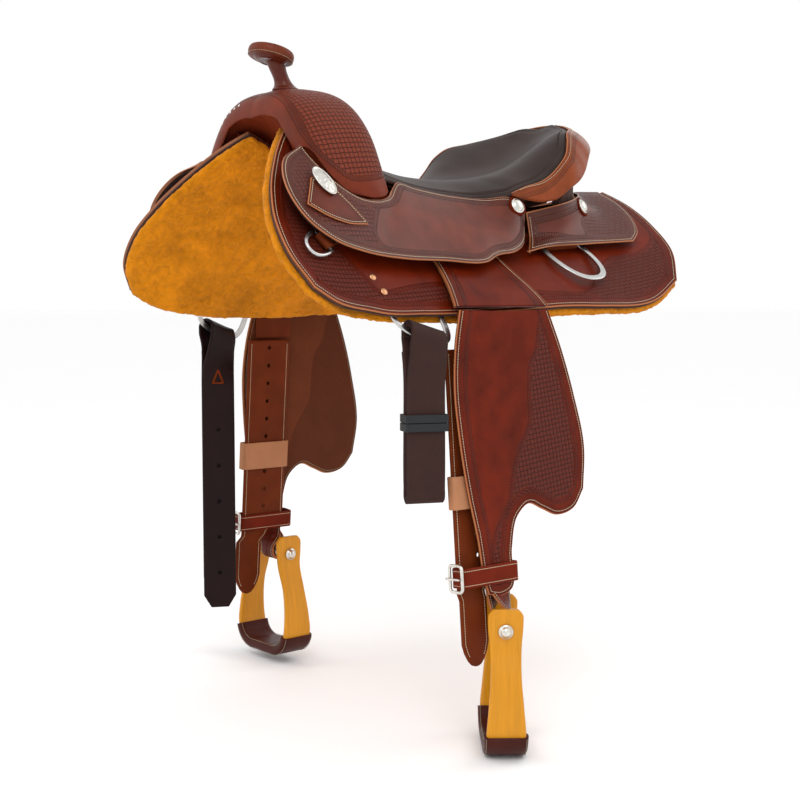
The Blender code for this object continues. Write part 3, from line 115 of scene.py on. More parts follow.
# Outlines on the side surface, front to rear: station y, distance s from the spine edge
SKIRT_TOP = [(-0.226, 0.006), (-0.120, 0.004), (0.100, 0.004), (0.300, 0.004), (0.405, 0.004)]
SKIRT_FRONT = [(-0.226, 0.006), (-0.282, 0.088), (-0.319, 0.157), (-0.335, 0.210), (-0.334, 0.260),
               (-0.314, 0.302)]
SKIRT_BOTTOM = [(-0.314, 0.302), (-0.280, 0.316), (-0.211, 0.310), (-0.129, 0.278), (0.000, 0.250),
                (0.100, 0.243), (0.190, 0.250), (0.300, 0.256), (0.358, 0.241)]
SKIRT_REAR = [(0.405, 0.004), (0.412, 0.060), (0.407, 0.133), (0.395, 0.188), (0.358, 0.241)]
JOCKEY_UPPER = [(0.1215, -0.2535, 0.1235), (0.137, -0.244, 0.104), (0.1555, -0.222, 0.077),
                (0.1605, -0.190, 0.060), (0.154, -0.155, 0.058), (0.139, -0.124, 0.066),
                (0.1255, -0.109, 0.077), (0.1175, -0.096, 0.086), (0.1130, -0.062, 0.0815),
                (0.1135, 0.010, 0.0735), (0.1275, 0.056, 0.071), (0.145, 0.088, 0.073), (0.151, 0.108, 0.062)]
JOCKEY_LOWER = [(-0.262, 0.090), (-0.290, 0.112), (-0.307, 0.146), (-0.310, 0.178), (-0.297, 0.214),
                (-0.262, 0.236), (-0.213, 0.236), (-0.148, 0.214), (-0.079, 0.193), (-0.001, 0.180),
                (0.030, 0.163), (0.067, 0.154), (0.094, 0.138), (0.118, 0.106)]

# Smooth panels among the stamping, on the flattened side: station y, distance down the slope
SKIRT_SMOOTH = [(-0.250, -0.10), (-0.250, 0.100), (-0.2265, 0.1444), (-0.2107, 0.1652), (-0.1972, 0.1835),
                (-0.1682, 0.1786), (-0.1316, 0.1700), (-0.0961, 0.1650), (0.000, 0.1720), (0.0730, 0.1807),
                (0.1006, 0.1838), (0.1363, 0.1872), (0.1636, 0.1873), (0.2095, 0.1561), (0.2372, 0.1313),
                (0.2678, 0.1153), (0.3099, 0.1099), (0.3398, 0.1043), (0.372, 0.085), (0.380, -0.10)]
JOCKEY_SMOOTH = [(-0.130, 0.034), (-0.1485, 0.0572), (-0.173, 0.0918), (-0.1839, 0.1163), (-0.1643, 0.139),
                 (-0.0841, 0.1363), (0.0032, 0.1308), (0.0365, 0.1125), (0.0624, 0.1064), (0.0946, 0.0734),
                 (0.0937, 0.0578), (0.0767, 0.0473), (0.0278, 0.0337), (-0.0404, 0.0259), (-0.095, 0.0205)]
REAR_SMOOTH = [(0.120, 0.0751), (0.1553, 0.0751), (0.2329, 0.0780), (0.2326, 0.0600), (0.2558, 0.0408),
               (0.290, 0.0260), (0.317, 0.0116), (0.285, 0.0165), (0.2618, 0.0207), (0.2600, 0.0080),
               (0.2756, -0.0014), (0.300, -0.020), (0.300, -0.080), (0.120, -0.080)]
FENDER_STAMPED = [(0.052, -0.050), (0.045, 0.000), (0.039, 0.0192), (0.031, 0.0527), (0.0184, 0.0724),
                  (0.0137, 0.1124), (0.0107, 0.1523), (-0.0057, 0.1778), (-0.0207, 0.2098), (-0.0307, 0.2485),
                  (-0.0564, 0.2852), (-0.0678, 0.323), (-0.068, 0.345), (-0.068, 0.42), (0.100, 0.45),
                  (0.300, 0.42), (0.300, 0.150), (0.300, -0.050)]
SWELL_STAMPED = [(-0.2445, -0.05), (-0.2445, 0.050), (-0.2469, 0.087), (-0.2472, 0.128), (-0.246, 0.152),
                 (-0.2413, 0.1703), (-0.2232, 0.192), (-0.1967, 0.2097), (-0.165, 0.209), (-0.1356, 0.2023),
                 (-0.112, 0.19), (-0.100, 0.10), (-0.100, -0.05)]

# Leathers and fenders hang in a plane below the hinge line
HINGE_Y = -0.030
TILT = math.radians(5)
DOWN = np.array([math.sin(TILT), 0, -math.cos(TILT)])
OUT = np.array([math.cos(TILT), 0, math.sin(TILT)])
REARWARD = np.array([0, 1.0, 0])
UP = np.array([0, 0, 1.0])
FENDER_THICKNESS = 0.006
LOOP_THICKNESS = 0.0045
STRAP_WIDTH = 0.076
STRAP_THICKNESS = 0.004
STRAP_MIDDLE_Y = -0.074
STRAP_TIP_Y = {1: -0.086, -1: -0.098}
STRAP_TIP_WIDTH = 0.046
HOLE_SPACING = 0.0285
HOLE_RADIUS = 0.0032
NECK_WIDTH = 0.034
NECK_MIDDLE_Y = -0.053
FENDER_FRONT = [(-0.096, -0.002), (-0.106, 0.040), (-0.112, 0.095), (-0.108, 0.166), (-0.099, 0.231),
                (-0.086, 0.296), (-0.079, 0.345), (-0.0725, 0.368)]
FENDER_REAR = [(0.062, -0.002), (0.083, 0.050), (0.103, 0.115), (0.118, 0.190), (0.112, 0.246)]
FENDER_LOWER = [(-0.0725, 0.368), (-0.051, 0.372), (-0.032, 0.366), (-0.027, 0.312), (-0.013, 0.270),
                (0.007, 0.257), (0.030, 0.266), (0.058, 0.277), (0.092, 0.270), (0.112, 0.246)]

# Stirrups
STIRRUP_DROP = {1: 0.409, -1: 0.396}
STIRRUP_TURN = {1: 38, -1: 2}
STIRRUP_Y = -0.044
STIRRUP_WALL = 0.009
STIRRUP_TOP_SPREAD = 0.043
STIRRUP_SPREAD = 0.064
STIRRUP_DEPTH = 0.162
SPACER_RADIUS = 0.008
TREAD_LEATHER = 0.0028

# Hobble strap, buckle and sleeve
HOBBLE_DROP = 0.342
HOBBLE_WIDTH = 0.026
HOBBLE_THICKNESS = 0.0028
BUCKLE_WIRE = 0.0021
SLEEVE_DROP = 0.233
SLEEVE_HEIGHT = 0.043
SLEEVE_THICKNESS = 0.0025
RETURN_LEVEL = -(SLEEVE_THICKNESS + 2 * RUNNING_GAP + STRAP_THICKNESS / 2)
LEATHER_LEVEL = RETURN_LEVEL - STRAP_THICKNESS - 0.0015
BAND_LEVEL = LEATHER_LEVEL - STRAP_THICKNESS / 2 - 2 * RUNNING_GAP

# Hardware
BREAST_DEE_WIDTH, BREAST_DEE_DEPTH, BREAST_DEE_WIRE = 0.038, 0.042, 0.0026
REAR_DEE_WIDTH, REAR_DEE_DEPTH, REAR_DEE_BAND = 0.090, 0.092, 0.0095
RIGGING_WIDTH, RIGGING_DEPTH, RIGGING_BAND = 0.092, 0.062, 0.009
RIGGING_PLACE = {1: (-0.144, 0.2595), -1: (-0.168, 0.272)}
DEE_THICKNESS = 0.0034

# Latigo and billet
WEBBING_WIDTH = 0.050
WEBBING_THICKNESS = 0.0022
LATIGO_TURNS = 3
LATIGO_PITCH = 0.0029
LATIGO_LENGTH = 0.202
LATIGO_TURN = 21
BAND_DROP = 0.108
BILLET_THICKNESS = 0.004
BILLET_LENGTHS = (0.401, 0.429)
BILLET_HOLE_SPACING = 0.056
BILLET_TURN = -26

SIDES = {"near": 1, "off": -1}
THREAD_SLOT = "natural_leather"


# Curves and grids

def blend_slopes(values, stations, at):
    """Cubic Hermite pieces: values at stations with the neighbours' mean slopes, read at the points at."""
    values, stations = np.asarray(values, float), np.asarray(stations, float)
    slopes = np.gradient(values, stations, axis=0)
    at = np.clip(at, stations[0], stations[-1])
    i = np.clip(np.searchsorted(stations, at) - 1, 0, len(stations) - 2)
    h = stations[i + 1] - stations[i]
    t = (at - stations[i]) / h
    if values.ndim > 1:
        h, t = h[..., None], t[..., None]
    return ((2 * t**3 - 3 * t**2 + 1) * values[i] + (t**3 - 2 * t**2 + t) * h * slopes[i]
            + (3 * t**2 - 2 * t**3) * values[i + 1] + (t**3 - t**2) * h * slopes[i + 1])


def unit(vectors):
    """Vectors scaled to length 1."""
    return vectors / np.linalg.norm(vectors, axis=-1, keepdims=True)


def length_along(points):
    """Length travelled along a line, at each of its points."""
    return np.concatenate([[0], np.cumsum(np.linalg.norm(np.diff(points, axis=0), axis=1))])


def headings(points, closed=False):
    """Unit directions along a line, by central differences."""
    return unit(np.roll(points, -1, axis=0) - np.roll(points, 1, axis=0) if closed else np.gradient(points, axis=0))


def smooth(points, shares):
    """Points at shares of the length of a smooth curve through the given ones; a count gives even shares."""
    points = np.asarray(points, float)
    shares = np.linspace(0, 1, shares) if np.isscalar(shares) else shares
    travelled = length_along(points)
    return blend_slopes(points, travelled, shares * travelled[-1])


def circle(turns, first, second):
    """Directions cos(turn) * first + sin(turn) * second."""
    return np.cos(turns)[..., None] * first + np.sin(turns)[..., None] * second


def eased(t):
    """Smoothstep of a share: t^2 (3 - 2 t)."""
    return t * t * (3 - 2 * t)


def crowded(count, pull=0.9):
    """Shares from 0 to 1 that crowd at both ends: t - pull * sin(2 pi t) / (2 pi)."""
    t = np.linspace(0, 1, count)
    return t - pull * np.sin(2 * np.pi * t) / (2 * np.pi)


def side(y, s, h=0.0):
    """Point on the side: the section at y is an arc whose slope grows evenly with s, lifted h off it."""
    y, s, h = np.broadcast_arrays(np.asarray(y, float), s, h)
    x0, z0, a0, a1 = (blend_slopes(SIDE_SECTIONS[:, k], SIDE_SECTIONS[:, 0], y) for k in (1, 2, 3, 4))
    a0, a1 = np.radians(a0), np.radians(a1)
    bend = (a1 - a0) / SLOPE_SPAN
    a = a0 + bend * s
    x = x0 + (np.sin(a) - np.sin(a0)) / bend + h * np.sin(a)
    z = z0 + (np.cos(a) - np.cos(a0)) / bend + h * np.cos(a)
    return np.stack([x, y, z], -1)


def frame_on_side(y, s, h=0.0):
    """Origin and the rearward, downward and outward directions of the side surface."""
    origin = side(y, s, h)
    rear, down = unit(side(y + 0.002, s, h) - origin), unit(side(y, s + 0.002, h) - origin)
    out = unit(np.cross(down, rear))
    return origin, rear, np.cross(rear, out), out


def patch(top, bottom, front, rear, u, v):
    """Coons patch: the two ruled surfaces between facing edges, less the bilinear one of the corners."""
    top, bottom, front, rear = smooth(top, u), smooth(bottom, u), smooth(front, v), smooth(rear, v)
    u, v = u[:, None, None], v[None, :, None]
    ruled = (1 - v) * top[:, None] + v * bottom[:, None] + (1 - u) * front[None] + u * rear[None]
    corners = ((1 - u) * (1 - v) * top[0] + u * (1 - v) * top[-1]
               + (1 - u) * v * bottom[0] + u * v * bottom[-1])
    return ruled - corners


def normals_of(grid):
    """Unit normals: the second direction of the grid across its first."""
    out = np.cross(np.gradient(grid, axis=1), np.gradient(grid, axis=0))
    return out / np.maximum(np.linalg.norm(out, axis=-1), 1e-12)[..., None]


def flattened(points):
    """The side leather laid flat: station y, and distance down a 50 degree slope."""
    return np.stack([points[..., 1], 0.6428 * points[..., 0] - 0.7660 * points[..., 2]], -1)


def nearest(points, line):
    """Distance from each point to a polyline, and the run along the line there."""
    shape = points.shape[:-1]
    p = points.reshape(-1, 1, points.shape[-1])
    a, ab = line[:-1], np.diff(line, axis=0)
    lengths = np.linalg.norm(ab, axis=1)
    share = np.clip(np.sum((p - a) * ab, -1) / np.maximum(lengths**2, 1e-14), 0, 1)
    gap = np.linalg.norm(p - a - share[..., None] * ab, axis=-1)
    best = gap.argmin(axis=1)
    rows = np.arange(len(best))
    starts = np.concatenate([[0], np.cumsum(lengths)[:-1]])
    return gap[rows, best].reshape(shape), (starts[best] + share[rows, best] * lengths[best]).reshape(shape)


def inside(points, outline):
    """Whether each point lies in a closed outline, by the number of sides that a ray to +x crosses."""
    x, y = points[..., 0, None], points[..., 1, None]
    a, b = outline, np.roll(outline, -1, axis=0)
    crosses = (a[:, 1] > y) != (b[:, 1] > y)
    at = (b[:, 0] - a[:, 0]) * (y - a[:, 1]) / np.where(b[:, 1] == a[:, 1], 1e-12, b[:, 1] - a[:, 1]) + a[:, 0]
    return (np.sum(crosses & (x < at), -1) % 2).astype(bool)


def panel_values(flat, outline, stamped_inside=False):
    """Signed distance to a panel's outline, positive where the leather is stamped, and the run along it."""
    line = smooth(np.array(outline), 160)
    closed = np.concatenate([line, line[:1]])
    gap, run = nearest(flat, closed)
    sign = np.where(inside(flat, line), 1, -1)
    return gap * (sign if stamped_inside else -sign), run


def noise(points, cell, seed=0):
    """Smooth value noise: pseudo-random numbers on a lattice, blended by smoothstep; from -1 to 1."""
    scaled = points / cell + 1000
    base = np.floor(scaled).astype(np.int64)
    t = eased(scaled - base)
    total = 0
    for corner in np.ndindex(2, 2, 2):
        at = (base + corner).astype(np.uint64)
        value = (at[..., 0] * 73856093) ^ (at[..., 1] * 19349663) ^ (at[..., 2] * 83492791) ^ (seed * 2654435761)
        value = (value * 2246822519 + 3266489917) % 4294967296
        value = (value ^ (value >> 15)) * 668265263 % 4294967296
        weight = np.prod(np.where(corner, t, 1 - t), axis=-1)
        total = total + weight * (value / 2147483648.0 - 1)
    return total


# Meshes

def quads(rows, columns, wrap=False, closed=False):
    """Corner numbers of a rows x columns grid's faces, as one array."""
    i, j = np.meshgrid(np.arange(rows if closed else rows - 1), np.arange(columns if wrap else columns - 1),
                       indexing="ij")
    k, n = (j + 1) % columns, (i + 1) % rows
    return np.stack([i * columns + j, i * columns + k, n * columns + k, n * columns + j], -1).reshape(-1, 4)


def make_object(name, points, faces, finishes, sign=1, values=None, uv=None):
    """Mesh object from arrays; sign -1 mirrors it to the off side and keeps its faces outward."""
    points = np.asarray(points, float).reshape(-1, 3) * (sign, 1, 1)
    mesh = bpy.data.meshes.new(name)
    if isinstance(faces, np.ndarray):
        faces = (faces if sign > 0 else faces[:, ::-1]).tolist()
    elif sign < 0:
        faces = [face[::-1] for face in faces]
    mesh.from_pydata(points.tolist(), [], faces)
    for key, array in (values or {}).items():
        layer = mesh.attributes.new(key, "FLOAT", "POINT")
        layer.data.foreach_set("value", np.asarray(array, np.float32).ravel())
    if uv is not None:
        layer = mesh.uv_layers.new(name="plan")
        corners = np.empty(len(mesh.loops), np.int32)
        mesh.loops.foreach_get("vertex_index", corners)
        layer.data.foreach_set("uv", np.asarray(uv, np.float32).reshape(-1, 2)[corners].ravel())
    for key in finishes if isinstance(finishes, (list, tuple)) else (finishes,):
        mesh.materials.append(finish(key))
    mesh.shade_smooth()
    mesh.update()
    obj = bpy.data.objects.new(name, mesh)
    bpy.context.scene.collection.objects.link(obj)
    return obj


def settle(obj, body, slot, *nodes):
    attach(obj, body)
    if nodes:
        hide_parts(*nodes)
    return obj


def round_edges(face, edge, radius):
    """Lowers a face towards its rim on a quarter circle: radius - sqrt(radius^2 - (radius - edge)^2)."""
    short = np.clip(radius - edge, 0, radius)
    drop = radius - np.sqrt(np.maximum(radius**2 - short**2, 0))
    return face - normals_of(face) * drop[..., None]


def rim_line(grid):
    """The grid's border as one closed line: top, rear, bottom, front."""
    return np.concatenate([grid[:, 0], grid[-1, 1:], grid[-2::-1, -1], grid[0, -2::-1]])


def open_rim(flat):
    """The grid's border without its top: front, bottom, rear."""
    return np.concatenate([flat[0], flat[1:, -1], flat[-1, -2::-1]])


def leather_sheet(name, face, flat, thickness, finishes, sign, values=None, uv=None, radius=0.0012, border=None):
    """Sheet of leather: the grid is its face, Solidify gives its back and a rim with a finish of its own."""
    rows, columns = face.shape[:2]
    edge, run = nearest(flat, rim_line(flat) if border is None else border)
    data = {"edge": edge, "run": run, "panel": np.full(edge.shape, -1.0), "panel_run": run}
    data.update(values or {})
    face = round_edges(face, edge, radius)
    obj = make_object(name, face, quads(rows, columns), finishes, sign, data, flat if uv is None else uv)
    solid = obj.modifiers.new("thickness", "SOLIDIFY")
    solid.thickness = thickness
    solid.offset = -1
    solid.material_offset_rim = 1
    solid.material_offset = len(finishes) - 1
    return obj


def tube(name, rings, finishes, sign=1, closed=False, values=None, uv=None):
    """Solid through rings of points; open ends get caps, closed joins the last ring to the first.

    The rings are turned over where they would face inward, as the sign of the enclosed volume says.
    """
    rings = np.asarray(rings, float)
    rows, columns = rings.shape[:2]
    faces = quads(rows, columns, True, closed)
    flat = rings.reshape(-1, 3) - rings.mean(axis=(0, 1))
    a, b, c, d = (flat[faces[:, k]] for k in range(4))
    outward = np.sum(a * np.cross(b, c)) + np.sum(a * np.cross(c, d)) > 0
    faces = (faces if outward else faces[:, ::-1]).tolist()
    if not closed:
        first, last = list(range(columns)), [(rows - 1) * columns + j for j in range(columns)]
        faces += [first[::-1], last] if outward else [first, last[::-1]]
    return make_object(name, rings, faces, finishes, sign, values, uv)


def strap_section(columns=7, turn=5):
    """Section of a strap as (side, round across, round through): flat faces joined by half-round edges."""
    flat = np.linspace(-1, 1, columns)
    angles = np.radians(np.linspace(90, -90, turn + 2))[1:-1]
    return np.array([(c, 0.0, 1.0) for c in flat] + [(1.0, math.cos(a), math.sin(a)) for a in angles]
                    + [(c, 0.0, -1.0) for c in flat[::-1]]
                    + [(-1.0, -math.cos(a), math.sin(a)) for a in angles[::-1]])


def strap(name, path, ways, widths, thickness, finishes, sign=1, closed=False, square=True, columns=7,
          corner=0.45):
    """Strap with rounded edges along a path; its width lies along ways. Carries run, across and edge."""
    path = np.asarray(path, float)
    ways = np.broadcast_to(np.asarray(ways, float), path.shape).copy()
    widths = np.broadcast_to(np.asarray(widths, float), len(path))[:, None, None]
    thick = np.broadcast_to(np.asarray(thickness, float), len(path))[:, None, None]
    along = headings(path, closed)
    if square:
        ways -= np.sum(ways * along, axis=1)[:, None] * along
    ways = unit(ways)
    normals = np.cross(along, ways)
    section = strap_section(columns)
    radius = thick * corner
    a = section[:, 0, None] * (widths / 2 - radius) + section[:, 1, None] * radius
    b = section[:, 2, None] * thick / 2
    rings = path[:, None] + a * ways[:, None] + b * normals[:, None]
    travelled = length_along(path)
    run = np.broadcast_to(travelled[:, None], rings.shape[:2])
    across = np.broadcast_to(a[..., 0], rings.shape[:2])
    edge = np.maximum(widths[..., 0] / 2 - np.abs(across), 0)
    values = {"edge": edge, "run": run, "panel": np.full(edge.shape, -1.0), "panel_run": run}
    return tube(name, rings, finishes, sign, closed, values, np.stack([run, across], -1))


def wire(name, points, radius, key, sign=1, closed=True, sides=12):
    """Round wire along a path: circles square to it, turned with the path's own plane."""
    points = np.asarray(points, float)
    along = headings(points, closed)
    plane = np.linalg.svd(points - points.mean(axis=0))[2][2]
    first = unit(np.cross(along, plane))
    turns = np.radians(np.arange(sides) * 360 / sides)[None, :, None]
    radius = np.broadcast_to(radius, len(points))[:, None, None]
    rings = points[:, None] + radius * (np.cos(turns) * first[:, None] + np.sin(turns) * plane)
    return tube(name, rings, key, sign, closed)


def turned_piece(name, centre, axis, profile, key, sign=1, sides=48, across=None, flute=None):
    """Surface of revolution: profile gives (along the axis, radius); flute waves it."""
    axis = unit(axis)
    first = unit(np.cross(axis, (0.13, 0.31, 0.94)) if across is None else across - (across @ axis) * axis)
    second = np.cross(axis, first)
    profile = np.asarray(profile, float)
    turns = np.arange(sides) * 2 * np.pi / sides
    radius = profile[:, 1, None] * np.ones(sides)
    if flute:
        count, depth, start = flute
        wave = 1 + depth * np.cos(count * turns)
        radius = radius * np.where(profile[:, 1, None] > start, wave, 1)
    rings = centre + profile[:, :1, None] * axis + radius[..., None] * circle(turns, first, second)
    return tube(name, rings, key, sign)


def dome(height, radius, rim=0.25, count=7):
    """Profile of a button: a low rim, then a quarter ellipse up to the middle."""
    a = np.radians(np.linspace(0, 88, count))
    body = np.stack([height * (rim + (1 - rim) * np.sin(a)), radius * 0.94 * np.cos(a)], -1)
    return np.concatenate([[(0, radius * 0.97), (height * rim * 0.5, radius), (height * rim, radius * 0.97)], body])


def copies(name, centres, along, out, template, faces, key, sign=1):
    """Repeats a small shape: template gives (along, aside, out) offsets, set at each centre."""
    centres, along, out = (np.asarray(a, float) for a in (centres, along, out))
    out = unit(out)
    along = unit(along - np.sum(along * out, axis=1)[:, None] * out)
    aside = np.cross(out, along)
    t = template[None]
    points = centres[:, None] + t[..., :1] * along[:, None] + t[..., 1:2] * aside[:, None] + t[..., 2:] * out[:, None]
    every = faces[None] + np.arange(len(centres))[:, None, None] * len(template)
    return make_object(name, points, every.reshape(-1, 4), key, sign)


def bead(length, width, height, ends=0.4):
    """A stitch: four six-sided rings, the outer ones narrowed, each end closed by two quads."""
    turns = np.arange(6) * np.pi / 3
    rings = [(-0.5, ends), (-0.22, 1.0), (0.22, 1.0), (0.5, ends)]
    points = [(at * length, math.cos(t) * width / 2 * size, math.sin(t) * height / 2 * size)
              for at, size in rings for t in turns]
    faces = quads(4, 6, True).tolist() + [[3, 2, 1, 0], [5, 4, 3, 0], [18, 19, 20, 21], [18, 21, 22, 23]]
    return np.array(points), np.array(faces)


def spaced(line, extra, pitch):
    """Points every pitch along a line, with the extra values read there and the line's direction."""
    travelled = length_along(line)
    count = max(int(travelled[-1] / pitch), 2)
    at = (np.arange(count) + 0.5) * travelled[-1] / count
    both = np.concatenate([line, extra], axis=1)
    read = np.stack([np.interp(at, travelled, both[:, k]) for k in range(both.shape[1])], -1)
    ahead = np.stack([np.interp(at + 0.001, travelled, line[:, k]) for k in range(3)], -1)
    behind = np.stack([np.interp(at - 0.001, travelled, line[:, k]) for k in range(3)], -1)
    return read[:, :3], read[:, 3:], ahead - behind


def sew(name, lines, body, sign=1, key="thread", pitch=0.0034, size=(0.0027, 0.00085, 0.0009)):
    """Rows of stitches: lines are (points, outward directions) pairs."""
    parts = [spaced(line, out, pitch) for line, out in lines if len(line) > 3]
    centres, outs, alongs = (np.concatenate([p[k] for p in parts]) for k in range(3))
    template, faces = bead(*size)
    return settle(copies(name, centres, alongs, outs, template, faces, key, sign), body, THREAD_SLOT)


def inset_lines(face, flat, inset, sides=("top", "rear", "bottom", "front"), border=None):
    """Lines at a set distance inside the grid's border, with their normals.

    Each border point moves square to the border by the inset in the plan. The place is read at the nearest
    grid point plus the plan's gap times the inverse of the grid's slope there. Points that come nearer to
    another border are left out.
    """
    every = np.concatenate([face, normals_of(face)], -1)
    border = rim_line(flat) if border is None else border
    slope = np.stack([np.gradient(flat, axis=0), np.gradient(flat, axis=1)], -1)
    rise = np.stack([np.gradient(every, axis=0), np.gradient(every, axis=1)], -1)
    ends = {"top": (flat[:, 0], flat[:, 1]), "bottom": (flat[:, -1], flat[:, -2]),
            "front": (flat[0], flat[1]), "rear": (flat[-1], flat[-2])}
    lines = []
    for key in sides:
        rim, within = ends[key]
        way = np.gradient(rim, axis=0)
        aside = np.stack([-way[:, 1], way[:, 0]], -1) / np.linalg.norm(way, axis=1, keepdims=True)
        goal = rim + inset * aside * np.sign(np.sum(aside * (within - rim), -1, keepdims=True))
        gaps = (goal[:, None, 0] - flat[..., 0].ravel()) ** 2 + (goal[:, None, 1] - flat[..., 1].ravel()) ** 2
        at = np.unravel_index(gaps.argmin(axis=1), flat.shape[:2])
        steps = np.einsum("nij,nj->ni", np.linalg.pinv(slope[at]), goal - flat[at]).clip(-1, 1)
        line = every[at] + np.einsum("nkj,nj->nk", rise[at], steps)
        kept = nearest(goal, border)[0] > inset * 0.96
        for part in np.split(np.arange(len(line)), np.nonzero(np.diff(kept.astype(int)))[0] + 1):
            if kept[part[0]] and len(part) > 3:
                lines.append((line[part, :3] + line[part, 3:] * 0.0001, line[part, 3:]))
    return lines


# Shaders

class Wire:
    """A value in a node tree. Arithmetic on it adds Math nodes."""

    def __init__(self, tree, socket):
        self.tree, self.socket = tree, socket

    def math(self, kind, *others, clamp=False):
        step = self.tree.nodes.new("ShaderNodeMath")
        step.operation = kind
        step.use_clamp = clamp
        for socket, value in zip(step.inputs, (self,) + others):
            join(self.tree, value, socket)
        return Wire(self.tree, step.outputs[0])

    def __add__(self, other):
        return self.math("ADD", other)

    def __sub__(self, other):
        return self.math("SUBTRACT", other)

    def __rsub__(self, other):
        return self.math("MULTIPLY", -1).math("ADD", other)

    def __mul__(self, other):
        return self.math("MULTIPLY", other)

    __radd__, __rmul__ = __add__, __mul__

    def band(self, centre, half, soft):
        """1 within half of the centre, falling to 0 over soft on both sides."""
        return ((self - centre).math("ABSOLUTE") - half).math("MULTIPLY", -1 / soft).math("ADD", 0.5, clamp=True)

    def above(self, level, soft):
        """0 below a level and 1 above it, over soft."""
        return (self - level).math("MULTIPLY", 1 / soft).math("ADD", 0.5, clamp=True)


def join(tree, value, socket):
    """Sets a socket to a number or colour, or links it to another node's output."""
    if isinstance(value, Wire):
        value = value.socket
    if isinstance(value, bpy.types.NodeSocket):
        tree.links.new(value, socket)
    else:
        socket.default_value = value


def feed(tree, step, inputs):
    """Joins values to a node's inputs by name, with underscores for spaces."""
    for key, value in inputs.items():
        join(tree, value, step.inputs[key.replace("_", " ")])


def node(tree, kind, outlet=0, settings=None, **inputs):
    """Adds a shader node and returns one of its outputs."""
    step = tree.nodes.new("ShaderNode" + kind)
    for key, value in (settings or {}).items():
        setattr(step, key, value)
    feed(tree, step, inputs)
    return Wire(tree, step.outputs[outlet])


def clouds(tree, at, scale, detail, **inputs):
    """Blender's noise from 0 to 1."""
    return node(tree, "TexNoise", Vector=at, Scale=scale, Detail=detail, **inputs)


def mix(tree, share, a, b):
    """Colour between a and b."""
    step = tree.nodes.new("ShaderNodeMix")
    step.data_type = "RGBA"
    join(tree, share, step.inputs["Factor"])
    join(tree, a, step.inputs["A"])
    join(tree, b, step.inputs["B"])
    return Wire(tree, step.outputs["Result"])


def group(name, inputs, outputs, fill):
    """Node group with float, vector or colour sockets; fill(tree, inputs) returns the outputs."""
    kinds = {"f": "NodeSocketFloat", "v": "NodeSocketVector", "c": "NodeSocketColor"}
    tree = bpy.data.node_groups.new(name, "ShaderNodeTree")
    for way, sockets in (("INPUT", inputs), ("OUTPUT", outputs)):
        for key in sockets:
            tree.interface.new_socket(key[2:], in_out=way, socket_type=kinds[key[0]])
    entry, leave = tree.nodes.new("NodeGroupInput"), tree.nodes.new("NodeGroupOutput")
    results = fill(tree, [Wire(tree, entry.outputs[k]) for k in range(len(inputs))])
    for result, socket in zip(results, leave.inputs):
        join(tree, result, socket)
    return tree


def use(tree, name, **inputs):
    """Places a node group and returns its outputs."""
    step = tree.nodes.new("ShaderNodeGroup")
    step.node_tree = bpy.data.node_groups[name]
    feed(tree, step, inputs)
    return [Wire(tree, socket) for socket in step.outputs]


def weave_cells(tree, inputs):
    """Basket stamping: square cells of three ridges each, turned a quarter from one cell to the next."""
    plan, cell, turn = inputs
    laid = node(tree, "VectorRotate", settings={"rotation_type": "Z_AXIS"}, Vector=plan, Angle=turn)
    split = tree.nodes.new("ShaderNodeSeparateXYZ")
    join(tree, laid, split.inputs[0])
    px, py = (Wire(tree, split.outputs[k]).math("DIVIDE", cell) for k in (0, 1))
    ix, iy = px.math("FLOOR"), py.math("FLOOR")
    odd = (ix + iy).math("MULTIPLY", 0.5).math("FRACT").math("MULTIPLY", 2.0)
    fx, fy = px - ix - 0.5, py - iy - 0.5
    along = fx + odd * (fy - fx)
    across = fy + odd * (fx - fy)
    ridges = (across * (3 * math.pi)).math("COSINE").math("ABSOLUTE").math("POWER", 0.6)
    crown = 1.0 - (along * 2.0).math("POWER", 2.0).math("POWER", 2.0)
    sides = 1.0 - (across * 2.0).math("POWER", 2.0).math("POWER", 4.0)
    return [(ridges * 0.4 + 0.6) * crown.math("MAXIMUM", 0.0) * sides.math("MAXIMUM", 0.0)]


def tooling_marks(tree, inputs):
    """Basket stamping on the stamped side of a panel and within the border, rope borders and lines. Dark is painted
    shade where they sit low.
    """
    plan, edge, run, panel, panel_run, cell, border = inputs
    weave = use(tree, "weave", Plan=plan, Cell=cell, Turn=0.12)[0]
    shape = use(tree, "rope", Distance=edge - border, Run=run)
    divide = use(tree, "rope", Distance=panel - 0.0035, Run=panel_run)
    field = edge.above(border + 0.0045, 0.0008) * panel.above(0.0078, 0.0008)
    inner = edge.above(border + 0.0010, 0.0010)
    rope = shape[0].math("MAXIMUM", divide[0] * inner)
    line = shape[1].math("MAXIMUM", divide[1] * inner)
    height = field * (weave - 1.0) * 0.0011 + rope * 0.0006 - line * 0.0005
    # Painted shade: darker where the weave, the cut lines and the rope's ground sit low, over the stamped colour.
    dark = (field * (1.0 - weave * weave * 0.9)).math("MAXIMUM", line.math("MAXIMUM", shape[2] * 0.85))
    dark = dark.math("MAXIMUM", divide[2] * inner * 0.85)
    return [height, dark, field]


def rope_border(tree, inputs):
    """Rope stamping 5 mm wide round a line: slanted lens marks, and a cut line along each side. The low ground
    between the marks and the cut lines are used as painted shade.
    """
    distance, run = inputs
    slant = (run + distance * 0.8).math("MULTIPLY", 2 * math.pi / 0.0042)
    marks = slant.math("SINE").math("MULTIPLY", 0.5).math("ADD", 0.5)
    width = distance.band(0.0, 0.0021, 0.0008)
    lines = distance.math("ABSOLUTE").band(0.0031, 0.0003, 0.0005)
    return [marks * width, lines, width * (1.0 - marks)]


